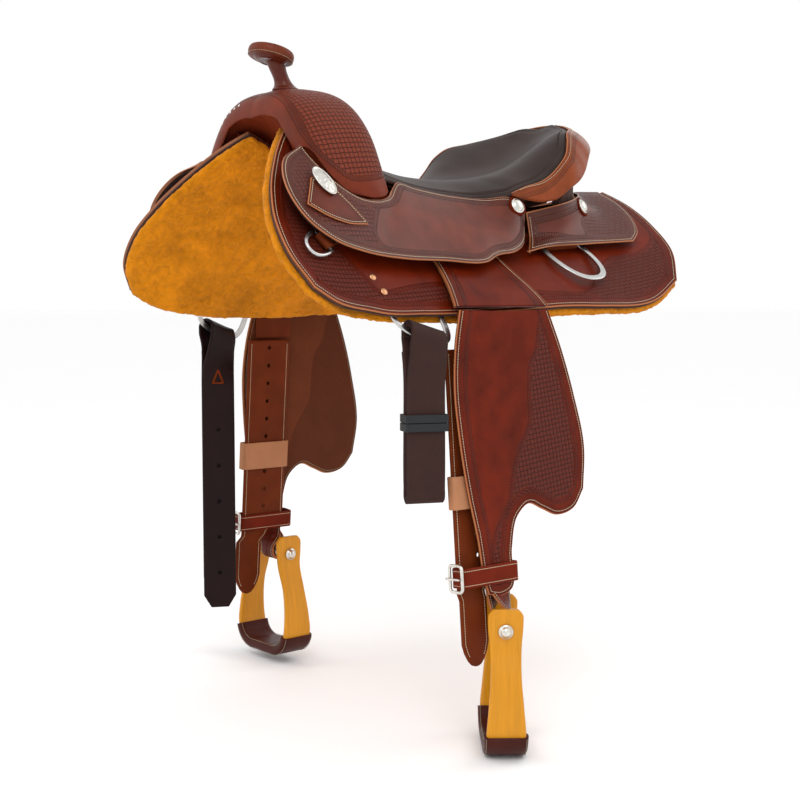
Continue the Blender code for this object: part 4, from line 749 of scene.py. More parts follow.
def grain_marks(tree, inputs):
    """Leather's grain: small cells and soft unevenness, as a height and a shade from 0 to 1."""
    at, scale = inputs
    cells = node(tree, "TexVoronoi", settings={"feature": "DISTANCE_TO_EDGE"}, Vector=at, Scale=scale)
    uneven = clouds(tree, at, 38.0, 4.0)
    large = clouds(tree, at, 9.0, 3.0)
    height = cells.math("MINIMUM", 0.25) * 0.00016 + uneven * 0.00018
    return [height, uneven * 0.5 + large * 0.5]


def shared_groups():
    """Builds the node groups that several materials use."""
    group("weave", ["v:Plan", "f:Cell", "f:Turn"], ["f:Height"], weave_cells)
    group("rope", ["f:Distance", "f:Run"], ["f:Marks", "f:Lines", "f:Ground"], rope_border)
    group("tooling", ["v:Plan", "f:Edge", "f:Run", "f:Panel", "f:Panel Run", "f:Cell", "f:Border"],
          ["f:Height", "f:Dark", "f:Field"], tooling_marks)
    group("grain", ["v:At", "f:Scale"], ["f:Height", "f:Shade"], grain_marks)


def surface(name):
    """New material with its tree and object coordinates."""
    made = bpy.data.materials.new(name)
    made.use_nodes = True
    return made, made.node_tree, made.node_tree.nodes.new("ShaderNodeTexCoord").outputs["Object"]


def cover(made, height=None, **inputs):
    """Gives the material's shader its inputs, and bump from a height in metres; returns the material."""
    tree = made.node_tree
    if height is not None:
        inputs["Normal"] = node(tree, "Bump", Height=height, Strength=1.0, Distance=1.0)
    feed(tree, tree.nodes["Principled BSDF"], inputs)
    return made


def attribute(tree, name):
    """A mesh attribute as a value."""
    return node(tree, "Attribute", outlet="Fac", settings={"attribute_name": name})


def leather(name, colour, dark, roughness, coat=0.0, grain=900.0, border=None, cell=None, stamped=None, rim=None):
    """Dyed leather. With a border distance it reads the sheet's attributes and carries tooling, with painted shade in
    its low parts.
    """
    made, tree, where = surface(name)
    height, shade = use(tree, "grain", At=where, Scale=grain)
    base = mix(tree, shade.math("POWER", 1.5).math("MULTIPLY", 1.5, clamp=True), dark, colour)
    rough = shade * 0.18 + (roughness - 0.09)
    if border:
        plan = tree.nodes.new("ShaderNodeUVMap").outputs["UV"]
        edge, run = attribute(tree, "edge"), attribute(tree, "run")
        tooled, marks, field = use(
            tree, "tooling", Plan=plan, Edge=edge, Run=run, Panel=attribute(tree, "panel"),
            Panel_Run=attribute(tree, "panel_run"), Cell=cell, Border=border)
        base = mix(tree, field * 0.9, base, stamped)
        # Painted shade: the stitch groove and the stamping's low parts (marks) are mixed towards the dark colour.
        groove = edge.band(0.0046, 0.0004, 0.0006)
        burnish = edge.above(0.0090, 0.014) * -0.40 + 0.40
        base = mix(tree, (marks * 0.9).math("MAXIMUM", (groove * 0.5).math("MAXIMUM", burnish)), base, dark)
        base = mix(tree, 1.0 - edge.above(0.0013, 0.0006), base, rim)
        height = height + tooled - groove * 0.0003
        rough = rough + field * 0.08
    return cover(made, height, Base_Color=base, Roughness=rough, Specular_IOR_Level=0.03 + coat * 0.2,
                 Coat_Weight=coat * 0.1, Coat_Roughness=0.24)


def edge_leather(name, colour, dark):
    """Cut edge: layered fibres along the sheet, as fine lines by height and noise."""
    made, tree, where = surface(name)
    fibres, patches = clouds(tree, where, 260.0, 4.0), clouds(tree, where, 22.0, 3.0)
    base = mix(tree, (fibres * 0.6 + patches * 0.6).math("SUBTRACT", 0.1, clamp=True), dark, colour)
    return cover(made, fibres * 0.0003, Base_Color=base, Roughness=0.62)


def flesh_leather(name, colour, dark, zone=None):
    """Rough back of leather; a darker zone shows where the face is stamped."""
    made, tree, where = surface(name)
    nap, patches = clouds(tree, where, 420.0, 6.0), clouds(tree, where, 26.0, 5.0)
    base = mix(tree, (nap * 0.7 + patches * 0.7).math("SUBTRACT", 0.2, clamp=True), dark, colour)
    if zone:
        base = mix(tree, attribute(tree, "panel").above(0.004, 0.002) * 0.55, base, zone)
    return cover(made, nap * 0.0006, Base_Color=base, Roughness=0.82, Specular_IOR_Level=0.20)


def wool(name, colour, dark):
    """Dyed fleece: tufts from the mesh's own attribute, with curls finer than the mesh as noise; painted shade in
    their troughs, lighter tips, and random tone from wide waves.
    """
    made, tree, where = surface(name)
    curls, locks = clouds(tree, where, 330.0, 6.0, Roughness=0.7), clouds(tree, where, 70.0, 4.0, Distortion=1.4)
    waves = clouds(tree, where, 17.0, 3.0, Distortion=0.8)
    # Painted shade and light: darker where the tufts, locks and curls sink, lighter on their tips; the waves are
    # random tone.
    share = curls * 0.5 + locks * 0.7 + attribute(tree, "tuft") * 0.3 + waves * 0.9
    base = mix(tree, share.math("SUBTRACT", 0.62, clamp=True), dark, colour)
    return cover(made, curls * 0.0016 + locks * 0.0022, Base_Color=base, Roughness=0.95,
                 Specular_IOR_Level=0.10, Sheen_Weight=0.08, Sheen_Roughness=0.5)


def varnish(name, colour, dark):
    """Varnished hardwood: growth lines run along the piece, as noise stretched along its plan."""
    made, tree, _ = surface(name)
    plan = tree.nodes.new("ShaderNodeUVMap").outputs["UV"]
    fine, wide = (node(tree, "Mapping", Vector=plan, Scale=(a, b, 1.0)) for a, b in ((26.0, 900.0), (8.0, 120.0)))
    lines, broad = clouds(tree, fine, 1.0, 5.0, Distortion=0.3), clouds(tree, wide, 1.0, 3.0)
    base = mix(tree, (lines * 0.7 + broad * 0.6).math("SUBTRACT", 0.15, clamp=True), dark, colour)
    return cover(made, lines * 0.00012, Base_Color=base, Roughness=0.42, Specular_IOR_Level=0.25,
                 Coat_Weight=0.22, Coat_Roughness=0.16)


def metal(name, colour, dark, roughness, scratch=60.0):
    """Polished metal with handling marks: noise in the roughness and a darker film in places."""
    made, tree, where = surface(name)
    film = clouds(tree, where, scratch, 6.0)
    return cover(made, film * 0.0002, Base_Color=mix(tree, film.math("POWER", 2.0), colour, dark),
                 Roughness=film * 0.22 + (roughness - 0.08), Metallic=1.0)


def woven(name, colour, dark, roughness=0.78):
    """Webbing or thread: fine yarns and soft patches as noise."""
    made, tree, where = surface(name)
    yarn, broad = clouds(tree, where, 900.0, 3.0), clouds(tree, where, 50.0, 4.0)
    base = mix(tree, (yarn * 0.7 + broad * 0.5).math("SUBTRACT", 0.1, clamp=True), dark, colour)
    return cover(made, yarn * 0.0003, Base_Color=base, Roughness=roughness, Specular_IOR_Level=0.25)


def linear(red, green, blue):
    """Linear colour from 0 to 255 display values."""
    values = [c / 255 for c in (red, green, blue)]
    return tuple(c / 12.92 if c <= 0.04045 else ((c + 0.055) / 1.055) ** 2.4 for c in values) + (1.0,)


FINISHES = {
    # name: how it is made, colour, the dark colour or its share of the first, then what that way takes
    "skirt": (leather, "panel", 0.22, 0.36, 0.25, 900.0, 0.0155, 0.0064, "stamped", "edge"),
    "jockey": (leather, "jockey", 0.22, 0.34, 0.8, 900.0, 0.0115, 0.0064, "stamped", "edge"),
    "tab": (leather, "jockey", 0.25, 0.36, 0.3, 900.0, 0.200, 0.0076, "stamped", "edge"),
    "fender": (leather, "panel", 0.20, 0.30, 0.3, 900.0, 0.0180, 0.0064, "stamped", "edge"),
    "swell": (leather, "swell", 0.20, 0.36, 0.3, 900.0, 0.0040, 0.0070, "swell_stamped", "edge"),
    "roll": (leather, "roll", 0.25, 0.30, 0.4, 900.0, 0.0150, 0.0070, "roll", "edge"),
    "seat": (leather, "seat", 0.35, 0.48, 0.5, 650.0),
    "horn": (leather, "horn", 0.35, 0.22, 0.7),
    "cap": (leather, "cap", 0.35, 0.34, 0.3),
    "gullet": (leather, "swell", 0.20, 0.40, 0.2),
    "strap": (leather, "strap", 0.40, 0.46, 0.15),
    "hobble": (leather, "panel", 0.35, 0.40, 0.2),
    "tread": (leather, "tread", 0.40, 0.36, 0.3),
    "billet": (leather, "billet", 0.45, 0.36, 0.3),
    "lace": (leather, "strap", 0.4, 0.42),
    "lacing": (leather, "lacing", 0.4, 0.40, 0.2),
    "binding": (leather, "binding", 0.45, 0.60),
    "sleeve": (leather, "sleeve", 0.62, 0.58),
    "rosette": (leather, ("panel", 0.9), ("panel", 0.3), 0.40),
    # Near black: painted shade for the walls of punched holes.
    "hole": (leather, (0.004, 0.003, 0.003, 1), (0.002, 0.002, 0.002, 1), 0.9),
    "edge": (edge_leather, "edge", 0.45),
    "flesh": (flesh_leather, "flesh", 0.45, ("flesh", 0.35)),
    "flesh_plain": (flesh_leather, "flesh", 0.5),
    "fleece": (wool, "fleece", 0.42),
    "wood": (varnish, "wood", 0.50),
    "steel": (metal, (0.62, 0.62, 0.61, 1), (0.38, 0.37, 0.35, 1), 0.26),
    "silver": (metal, (0.80, 0.78, 0.72, 1), (0.30, 0.28, 0.25, 1), 0.28, 140.0),
    "copper": (metal, (0.72, 0.36, 0.19, 1), (0.42, 0.20, 0.10, 1), 0.34, 140.0),
    "webbing": (woven, "webbing", 0.40),
    "band": (woven, "band", 0.55, 0.55),
    "thread": (woven, "thread", 0.60, 0.70),
    "thread_tan": (woven, ("thread", 0.55), ("thread", 0.3), 0.70),
}


def finish(key):
    """The material of a name in FINISHES, made once with the scene's colours."""
    made = bpy.data.materials.get("look_" + key)
    if made:
        return made
    look = bpy.context.scene.saddle_look

    def tint(value):
        """Reads a colour's name, or its name and a share of it; anything else stays as it is."""
        if isinstance(value, str):
            return getattr(look, value)
        if isinstance(value, tuple) and isinstance(value[0], str):
            return tuple(c * value[1] for c in getattr(look, value[0])[:3]) + (1.0,)
        return value

    way, colour, dark, *rest = FINISHES[key]
    dark = (colour, dark) if isinstance(dark, float) else dark
    return way("look_" + key, *map(tint, (colour, dark, *rest)))


# Swell and horn

def fork_base(angle, y):
    """Distance from the gullet's centre to the bars along a ray, read for each angle and station."""
    s = np.linspace(0.020, 0.240, 60)
    share = np.clip((y + 0.230 + 0.022) / 0.012, 0, 1)[:, None]
    bars = side(y[:, None], s[None], 0.0014 + 0.0132 * share)
    across = np.concatenate([np.zeros((len(y), 1)), bars[..., 0]], 1)
    height = np.concatenate([bars[:, :1, 2] + 0.008, bars[..., 2]], 1) - GULLET_CENTRE_Z
    rays, reach = np.degrees(np.arctan2(across, height)), np.hypot(across, height)
    at = np.clip((rays < np.abs(angle)[:, None]).sum(1), 1, len(s))
    rows = np.arange(len(y))
    low, high = rays[rows, at - 1], rays[rows, at]
    part = np.clip((np.abs(angle) - low) / (high - low), 0, 1)
    return reach[rows, at - 1] * (1 - part) + reach[rows, at] * part


def fork_surface(parts, turns, inset=0.0):
    """Swell's surface: at each angle over the arch, half a squared-off ellipse that stands on the bars."""
    power = 2 / FORK_BOXINESS
    turn, part = np.meshgrid(turns, parts, indexing="ij")
    angle = part * blend_slopes(FORK_END_ANGLES[:, 1], FORK_END_ANGLES[:, 0], turn)
    c, s = np.cos(np.radians(turn)), np.maximum(np.sin(np.radians(turn)), 0)
    y = FORK_MIDDLE_Y - (FORK_HALF_LENGTH - inset) * np.sign(c) * np.abs(c) ** power
    top = blend_slopes(FORK_TOP_RADII[:, 1], FORK_TOP_RADII[:, 0], np.abs(angle)) - inset
    foot = fork_base(angle.ravel(), y.ravel()).reshape(y.shape) + 0.0028
    r = foot + np.maximum(top - foot, 0.002) * s ** power
    ray = np.radians(angle)
    return np.stack([r * np.sin(ray), y, GULLET_CENTRE_Z + r * np.cos(ray)], -1), ray


def even_turns(count):
    """Turns spaced evenly along the fork's middle section, not by angle."""
    turns = np.linspace(0, 180, 721)
    line = fork_surface(np.array([0.3]), turns)[0][:, 0]
    travelled = length_along(line)
    return np.interp(np.linspace(0, travelled[-1], count), travelled, turns)


def make_swell():
    """Cover: the fork's surface with a back. Tacks: beads set square to it along one turn."""
    face, ray = fork_surface(crowded(241, 0.5) * 2 - 1, even_turns(150))
    middle = face[:, 120]
    down = length_along(middle)
    arc = ray * 0.145
    plan = np.stack([np.broadcast_to(down[:, None], arc.shape), arc], -1)
    panel, run = panel_values(np.stack([face[..., 1], np.abs(ray) * 0.14], -1), SWELL_STAMPED, True)
    cover = leather_sheet("swell_leather", face, plan, 0.0035, ["swell", "edge"], 1,
                          {"panel": panel, "panel_run": run, "edge": np.full(panel.shape, 0.06)})
    settle(cover, "saddle", "stamped_leather", "swell_cover")
    row = np.array([-0.66, -0.58, -0.50, -0.42, -0.34, -0.26])
    spots, ahead, above = (fork_surface(row + step, np.array([turn]))[0][0]
                           for step, turn in ((0, 24.0), (0.01, 24.0), (0, 25.0)))
    out = np.cross(ahead - spots, above - spots)
    cap, faces = bead(0.0040, 0.0040, 0.0022, 0.55)
    settle(copies("swell_tacks", spots, ahead - spots, out, cap, faces, "silver"), "saddle", "silver")


def make_horn():
    """Neck: circles along a smooth axis that turns to the cap's. Cap: a turned profile with a round rim."""
    up = np.array([0, math.sin(HORN_CAP_PITCH), math.cos(HORN_CAP_PITCH)])
    lean = unit(HORN_CAP - HORN_BASE)
    neck = ((0, 0.0200), (0.0015, 0.0196), (0.005, 0.0160), (0.011, 0.0128), (0.028, 0.0118), (0.039, 0.0138))
    stops = np.array([(*(HORN_BASE + a * lean), r) for a, r in neck]
                     + [(*(HORN_CAP - a * up), r) for a, r in ((0.0105, 0.0185), (0.0066, 0.0240))])
    rows = smooth(stops, 48)
    share = np.clip(np.linspace(0, 1, 48) * 1.2, 0, 1)[:, None]
    axis = np.array([0, 0, 1.0]) * (1 - share) + up * share
    turns = np.radians(np.arange(64) * 360 / 64)
    rear = unit(np.cross(axis, (1, 0, 0)))
    rings = rows[:, None, :3] + rows[:, 3, None, None] * circle(turns, np.array([1.0, 0, 0]), rear[:, None])
    settle(tube("horn_neck", rings, "horn"), "saddle", "skirting_leather", "horn")
    edge = np.radians(np.linspace(-90, 90, 13))
    low, high, r = -0.0070, 0.0068, HORN_CAP_RADIUS
    half = (high - low) / 2
    profile = [(low + 0.0002, 0.018), (low, 0.024)]
    profile += [((low + high) / 2 + half * math.sin(a), r - 0.0050 + 0.0050 * math.cos(a) ** 0.7) for a in edge]
    profile += [(high + 0.0002, r * 0.7), (high + 0.0004, r * 0.35), (high + 0.0004, r * 0.05)]
    settle(turned_piece("horn_cap", HORN_CAP, up, profile, "cap", sides=96), "saddle", "roll_leather")
    around = circle(np.radians(np.arange(0, 361, 3)), np.array([1.0, 0, 0]), np.cross(up, (1.0, 0, 0)))
    lines = [(HORN_CAP + up * (high - 0.0001) + (r - 0.0062) * around, np.broadcast_to(up, around.shape)),
             (HORN_CAP + up * (low + 0.0016) + (r - 0.0009) * around, around)]
    sew("horn_stitching", lines, "saddle", key="thread_tan")


# Seat, cantle and roll

def seat_face(rows, v, drop=0.0):
    """Seat's face: along a row the height follows a parabola, so the front is crowned and the rear dished."""
    at = np.linspace(0, 1, 61)
    middle = blend_slopes(smooth([(0, y, z) for y, z in SEAT_MIDDLE], 61), at, rows)[:, None]
    edge = blend_slopes(smooth(list(SEAT_SIDE) + [tuple(r[:3]) for r in CANTLE_SEAM[:-1]], 61), at, rows)[:, None]
    share = np.abs(v)[None, :]
    grid = np.empty((len(rows), len(v), 3))
    grid[..., 0] = edge[..., 0] * v[None]
    grid[..., 1:] = middle[..., 1:] + (edge[..., 1:] - middle[..., 1:]) * share[..., None] ** 2
    rear = np.clip((rows[:, None] - 0.45) / 0.2, 0, 1) * edge[..., 0] / SEAT_SIDE[0][0]
    grid[..., 2] += SEAT_CROWN * rear * 4 * share ** 2 * (1 - share ** 2)
    return grid - drop * normals_of(grid) if drop else grid


def two_faced(name, outer, inner, key, sign=1, values=None, uv=None):
    """Closed solid between two grids of one size, joined round their border."""
    rows, columns = outer.shape[:2]
    count = rows * columns
    faces = quads(rows, columns)
    number = np.arange(count).reshape(rows, columns)
    border = np.concatenate([number[:, 0], number[-1, 1:], number[-2::-1, -1], number[0, -2:0:-1]])
    after = np.roll(border, -1)
    rim = np.stack([border, after, after + count, border + count], -1)
    every = np.concatenate([faces, faces[:, ::-1] + count, rim])
    points = np.concatenate([outer.reshape(-1, 3), inner.reshape(-1, 3)])
    doubled = {k: np.concatenate([np.ravel(a), np.ravel(b)]) for k, (a, b) in (values or {}).items()}
    flat = None if uv is None else np.concatenate([uv.reshape(-1, 2)] * 2)
    return make_object(name, points, every, key, sign, doubled, flat)


def make_seat():
    """Pad between two seat faces: its rim falls on a quarter circle, its middle swells by a sine."""
    rows, v = crowded(150, 0.8), crowded(111, 0.85) * 2 - 1
    top, base = seat_face(rows, v), seat_face(rows, v, 0.0115)
    gap, _ = nearest(top[..., :2], rim_line(top[..., :2]))
    out = normals_of(top)
    share = np.clip(gap / 0.0130, 0, 1)
    round_over = 0.0060 * (1 - np.sqrt(np.clip(1 - (1 - share) ** 2, 0, 1)))
    stuffing = 0.0022 * np.sin(np.pi * np.clip((gap - 0.012) / 0.09, 0, 1)) ** 2
    piping = 0.0016 * np.exp(-((gap - 0.0100) / 0.0022) ** 2)
    face = top + out * (stuffing - round_over - piping)[..., None]
    under = base + out * (0.0045 * (1 - share))[..., None]
    seat = two_faced("seat_cushion", face, under, "seat")
    settle(seat, "saddle", "seat_leather", "seat_pad")
    edge_rows = np.linspace(0.015, 0.985, 240)
    lines = []
    for reach in (-1.0, 1.0):
        line = seat_face(edge_rows, np.array([reach * 0.9995]))[:, 0]
        away = np.stack([np.full(240, reach), np.zeros(240), np.full(240, 0.25)], -1)
        lines.append((line - UP * 0.0050 + away * (0.0006, 0, 0), away))
    parts = [spaced(line, away, 0.0042) for line, away in lines]
    centres, outs, along = (np.concatenate([p[k] for p in parts]) for k in range(3))
    along = unit(along) + 0.9 * UP
    shape, faces = bead(0.0068, 0.0026, 0.0024, 0.6)
    settle(copies("seat_lacing", centres, along, outs, shape, faces, "lacing"), "saddle", "seat_leather")
    around = seat_face(edge_rows, np.array([0.905]))[:, 0]
    opposite = around * (-1, 1, 1)
    sew("seat_stitching", [(around + UP * -0.0012, np.broadcast_to(UP, around.shape)),
                           (opposite + UP * -0.0012, np.broadcast_to(UP, around.shape))], "saddle", key="lacing")


def closed_smooth(points, count):
    """Evenly spaced points round a smooth closed curve."""
    points = np.asarray(points, float)
    turned = np.concatenate([points[-3:], points, points[:4]])
    travelled = length_along(turned)
    first, last = travelled[3], travelled[3 + len(points)]
    return blend_slopes(turned, travelled, np.linspace(first, last, count, endpoint=False))


def make_roll():
    """One rounded section carried along the cantle's seam, scaled by the reach and drop there."""
    full = np.concatenate([CANTLE_SEAM, CANTLE_SEAM[-2::-1] * (-1, 1, 1, 1, 1)])
    rows = smooth(full, 260)
    seam, reach, drop = rows[:, :3], rows[:, 3:4], rows[:, 4:5]
    along = np.gradient(seam, axis=0)
    out = unit(np.cross((0, 0, 1), along))
    out *= np.where(out @ (0, 1, 0) + 4 * out[:, 0] * seam[:, 0] > 0, 1, -1)[:, None]
    across = out * reach - UP * drop
    size = np.linalg.norm(across, axis=1)[:, None]
    way = across / size
    face = unit(UP - (way @ UP)[:, None] * way)
    thick = ROLL_THICKNESS * np.minimum(1.0, size / 0.030 + 0.1)
    section = closed_smooth([(0, 0), (0.22, 0.30), (0.60, 0.42), (0.88, 0.20), (1.0, -0.25), (0.97, -0.75),
                             (0.82, -1.0), (0.56, -1.0), (0.34, -0.75), (0.12, -0.30)], 44)
    rings = (seam + out * 0.0020)[:, None] + across[:, None] * section[None, :, :1] \
        + (face * thick)[:, None] * section[None, :, 1:]
    travelled = length_along(seam)
    inward = size * section[None, :, 0]
    over = section[None, :, 1] > -0.6
    run = np.broadcast_to(travelled[:, None], inward.shape)
    edge = np.where(over, inward, 0.2)
    values = {"edge": edge, "run": run, "panel": np.full(run.shape, -1.0), "panel_run": run}
    roll = tube("cantle_roll", rings, "roll", values=values, uv=np.stack([run, inward], -1))
    settle(roll, "saddle", "roll_leather", "cheyenne_roll")
    row = int(np.argmin(np.abs(section[:, 0] - 0.16) + 10 * (section[:, 1] < 0)))
    outs = np.broadcast_to(face[:, None], rings.shape)
    sew("roll_stitching", [(rings[6:-6, row] + face[6:-6] * 0.0003, outs[6:-6, row])], "saddle")
    under = int(np.argmin(np.abs(section[:, 0] - 0.93) + 10 * (section[:, 1] > -0.4)))
    sew("roll_edge_stitching", [(rings[6:-6, under], (rings[6:-6, under] - rings[6:-6].mean(axis=1)))], "saddle",
        key="thread_tan")


# Leather on the sides

def plan_to_face(plan, height=0.0):
    """A plan of (y, s) pairs on the side surface, and the same laid flat."""
    face = side(plan[..., 0], plan[..., 1], height)
    return face, flattened(face)


def make_skirts():
    """Skirt and lining: one patch on the side surface at two heights; rivets stand square to it."""
    plan = patch(SKIRT_TOP, SKIRT_BOTTOM, SKIRT_FRONT, SKIRT_REAR, crowded(210), crowded(110))
    face, flat = plan_to_face(plan)
    panel, run = panel_values(flat, SKIRT_SMOOTH)
    lower = plan_to_face(plan, -0.0050)
    middle = np.array([0.03, 0.15])
    for name, sign in SIDES.items():
        top = leather_sheet(f"skirt_leather_{name}", face, flat, 0.0046, ["skirt", "edge"], sign,
                            {"panel": panel, "panel_run": run}, radius=0.0016)
        settle(top, "saddle", "skirting_leather", f"skirt_{name}")
        under = leather_sheet(f"skirt_lining_{name}", lower[0], lower[1], 0.0028, ["binding", "binding"], sign)
        settle(under, "saddle", "skirting_leather")
        sew(f"skirt_stitching_{name}", inset_lines(face, flat, 0.0050, ("front", "bottom", "rear")), "saddle", sign)
        make_fleece(name, sign, middle)
        s = np.linspace(0.05, 0.30, 400)
        for number, (y, down) in enumerate(((-0.2009, 0.1643), (-0.1914, 0.1855))):
            place = float(np.interp(down, flattened(side(np.full(400, y), s))[:, 1], s))
            origin, rear, _, out = frame_on_side(y, place, 0.0002)
            settle(turned_piece(f"skirt_rivet_{name}_{number}", origin, out, dome(0.0020, 0.0052, 0.35), "copper",
                                sign, 32, rear), "saddle", "stainless_steel")


def make_fleece(name, sign, middle):
    """Fleece: a pillow that thins at its rim, with tufts of noise along its normals."""
    fine = patch(SKIRT_TOP, SKIRT_BOTTOM, SKIRT_FRONT, SKIRT_REAR, crowded(250, 0.80), crowded(130, 0.80))
    flat = flattened(side(fine[..., 0], fine[..., 1]))
    away = unit(fine - middle)
    gap, _ = nearest(flat, rim_line(flat))
    past = 0.0052 if sign > 0 else 0.0005
    wide = fine + past * away * np.exp(-gap / 0.012)[..., None]
    near_dee = np.exp(-(((wide[..., 0] + 0.155) / 0.115) ** 6 + ((wide[..., 1] - 0.285) / 0.085) ** 6))
    pocket = (DEE_THICKNESS + 0.0022) * np.clip(1.6 * near_dee, 0, 1)
    share = np.clip(gap / 0.0085, 0, 1)
    profile = 0.12 + 0.88 * np.sqrt(np.clip(1 - (1 - share) ** 2, 0, 1))
    top, bottom = -0.0084 - pocket, np.full(gap.shape, -0.0193)
    centre, half = (top + bottom) / 2, (top - bottom) / 2
    outer = side(wide[..., 0], wide[..., 1], centre + half * profile)
    inner = side(wide[..., 0], wide[..., 1], centre - half * profile)
    tuft = 0.35 * noise(inner, 0.024, 3) + 0.35 * noise(inner, 0.0060, 5) + 0.3 * noise(inner, 0.0032, 6)
    inner = inner - normals_of(inner) * (0.0026 * tuft + 0.0006)[..., None]
    rim_tuft = 0.5 * noise(outer, 0.0050, 7) + 0.5 * noise(outer, 0.0028, 9)
    outer = outer + normals_of(outer) * (0.0016 * rim_tuft * (1 - share))[..., None]
    # The tuft heights are kept as an attribute, which the fleece finish turns into painted shade in the troughs and
    # lighter tips.
    fleece = two_faced(f"fleece_wool_{name}", outer, inner, "fleece", sign, {"tuft": (rim_tuft, tuft)})
    settle(fleece, "saddle", "fleece", f"fleece_{name}")


def seat_jockey(u, v):
    """Seat jockey's face between its upper edge under the seat and its lower edge, bulged in the middle."""
    lower = [side(y, s, JOCKEY_TOP) for y, s in JOCKEY_LOWER]
    first, last = np.array(JOCKEY_UPPER[0]), np.array(JOCKEY_UPPER[-1])
    face = patch(JOCKEY_UPPER, lower, [first, (first + lower[0]) / 2, lower[0]],
                 [last, (last + lower[-1]) / 2 + np.array([0.002, 0, 0]), lower[-1]], u, v)
    bulge = 0.010 * v * (1 - v)
    return face + np.stack([bulge, 0 * bulge, bulge], -1)[None]


def rear_jockey(u, v):
    """Rear jockey's face: a patch between the cantle's foot and a low line on the skirt."""
    tail = [side(y, s, REAR_JOCKEY_TOP) for y, s in ((0.366, 0.020), (0.371, 0.060), (0.362, 0.112),
                                                     (0.344, 0.140), (0.322, 0.152))]
    low = [side(0.106, 0.141, 0.0115), side(0.134, 0.138, 0.0150)]
    low += [side(y, s, REAR_JOCKEY_TOP) for y, s in ((0.160, 0.136), (0.211, 0.136), (0.263, 0.139),
                                                     (0.322, 0.152))]
    high = [(0.1445, 0.1205, 0.053), (0.146, 0.152, 0.060), (0.150, 0.190, 0.069), (0.131, 0.236, 0.080),
            (0.098, 0.274, 0.090), (0.058, 0.304, 0.097), tail[0]]
    return patch(high, low, [high[0], side(0.1290, 0.108, 0.0200), low[0]], tail, u, v)


def on_grid(grid, i, j):
    """Origin a gap off a grid's face, and the rearward, downward and outward directions there."""
    rear, down = unit(np.gradient(grid, axis=0)[i, j]), np.gradient(grid, axis=1)[i, j]
    out = unit(np.cross(down, rear))
    return grid[i, j] + out * 3 * GAP, rear, np.cross(rear, out), out


def round_concho(name, sign, place, node_name):
    """Silver button with a roped rim, on a scalloped leather rosette."""
    origin, rear, _, out = place
    rim = [(0.0002, 0.0112), (0.0009, 0.0116), (0.0016, 0.0113), (0.0021, 0.0104), (0.0019, 0.0098),
           (0.0026, 0.0092)]
    body = [(0.0026 + 0.0030 * math.sin(a), 0.0090 * math.cos(a)) for a in np.radians(np.linspace(8, 88, 12))]
    button = turned_piece(name, origin, out, rim + body, "silver", sign, 96, rear, flute=(32, 0.012, 0.0100))
    settle(button, "saddle", "silver", node_name)
    flat = [(-0.0004, 0.0148), (0.0004, 0.0152), (0.0012, 0.0146), (0.0013, 0.0100)]
    rosette = turned_piece(name + "_rosette", origin - out * 0.0009, out, flat, "rosette", sign, 96, rear,
                           flute=(16, 0.035, 0.0120))
    settle(rosette, "saddle", "skirting_leather")


def oval_concho(name, sign, place, turn, node_name):
    """Oval silver plate, roped round its rim, with an engraved boss of petals."""
    origin, rear, down, out = place
    angle = math.radians(turn)
    major = rear * math.cos(angle) + down * math.sin(angle)
    minor = down * math.cos(angle) - rear * math.sin(angle)
    turns = np.arange(144) * 2 * np.pi / 144
    shares = np.array([0.985, 1.0, 1.0, 0.975, 0.93, 0.89, 0.86, 0.80, 0.72, 0.64, 0.55, 0.46, 0.38, 0.30, 0.22,
                       0.14, 0.06])
    heights = np.array([0.0, 0.0006, 0.0016, 0.0022, 0.0023, 0.0018, 0.0015, 0.0021, 0.0028, 0.0033, 0.0037,
                        0.0041, 0.0044, 0.0046, 0.0048, 0.0049, 0.0049])
    petals = np.cos(12 * turns)[None] * 0.00035 * np.exp(-((shares - 0.62) / 0.16) ** 2)[:, None]
    petals = petals + np.cos(8 * turns)[None] * 0.00030 * np.exp(-((shares - 0.30) / 0.10) ** 2)[:, None]
    rope = np.cos(48 * turns)[None] * 0.00030 * np.exp(-((shares - 0.94) / 0.03) ** 2)[:, None]
    level = heights[:, None] + petals + rope
    oval = circle(turns, 0.022 * major, 0.0145 * minor)
    rings = origin + shares[:, None, None] * oval + level[..., None] * out
    settle(tube(name, rings, "silver", sign), "saddle", "silver", node_name)


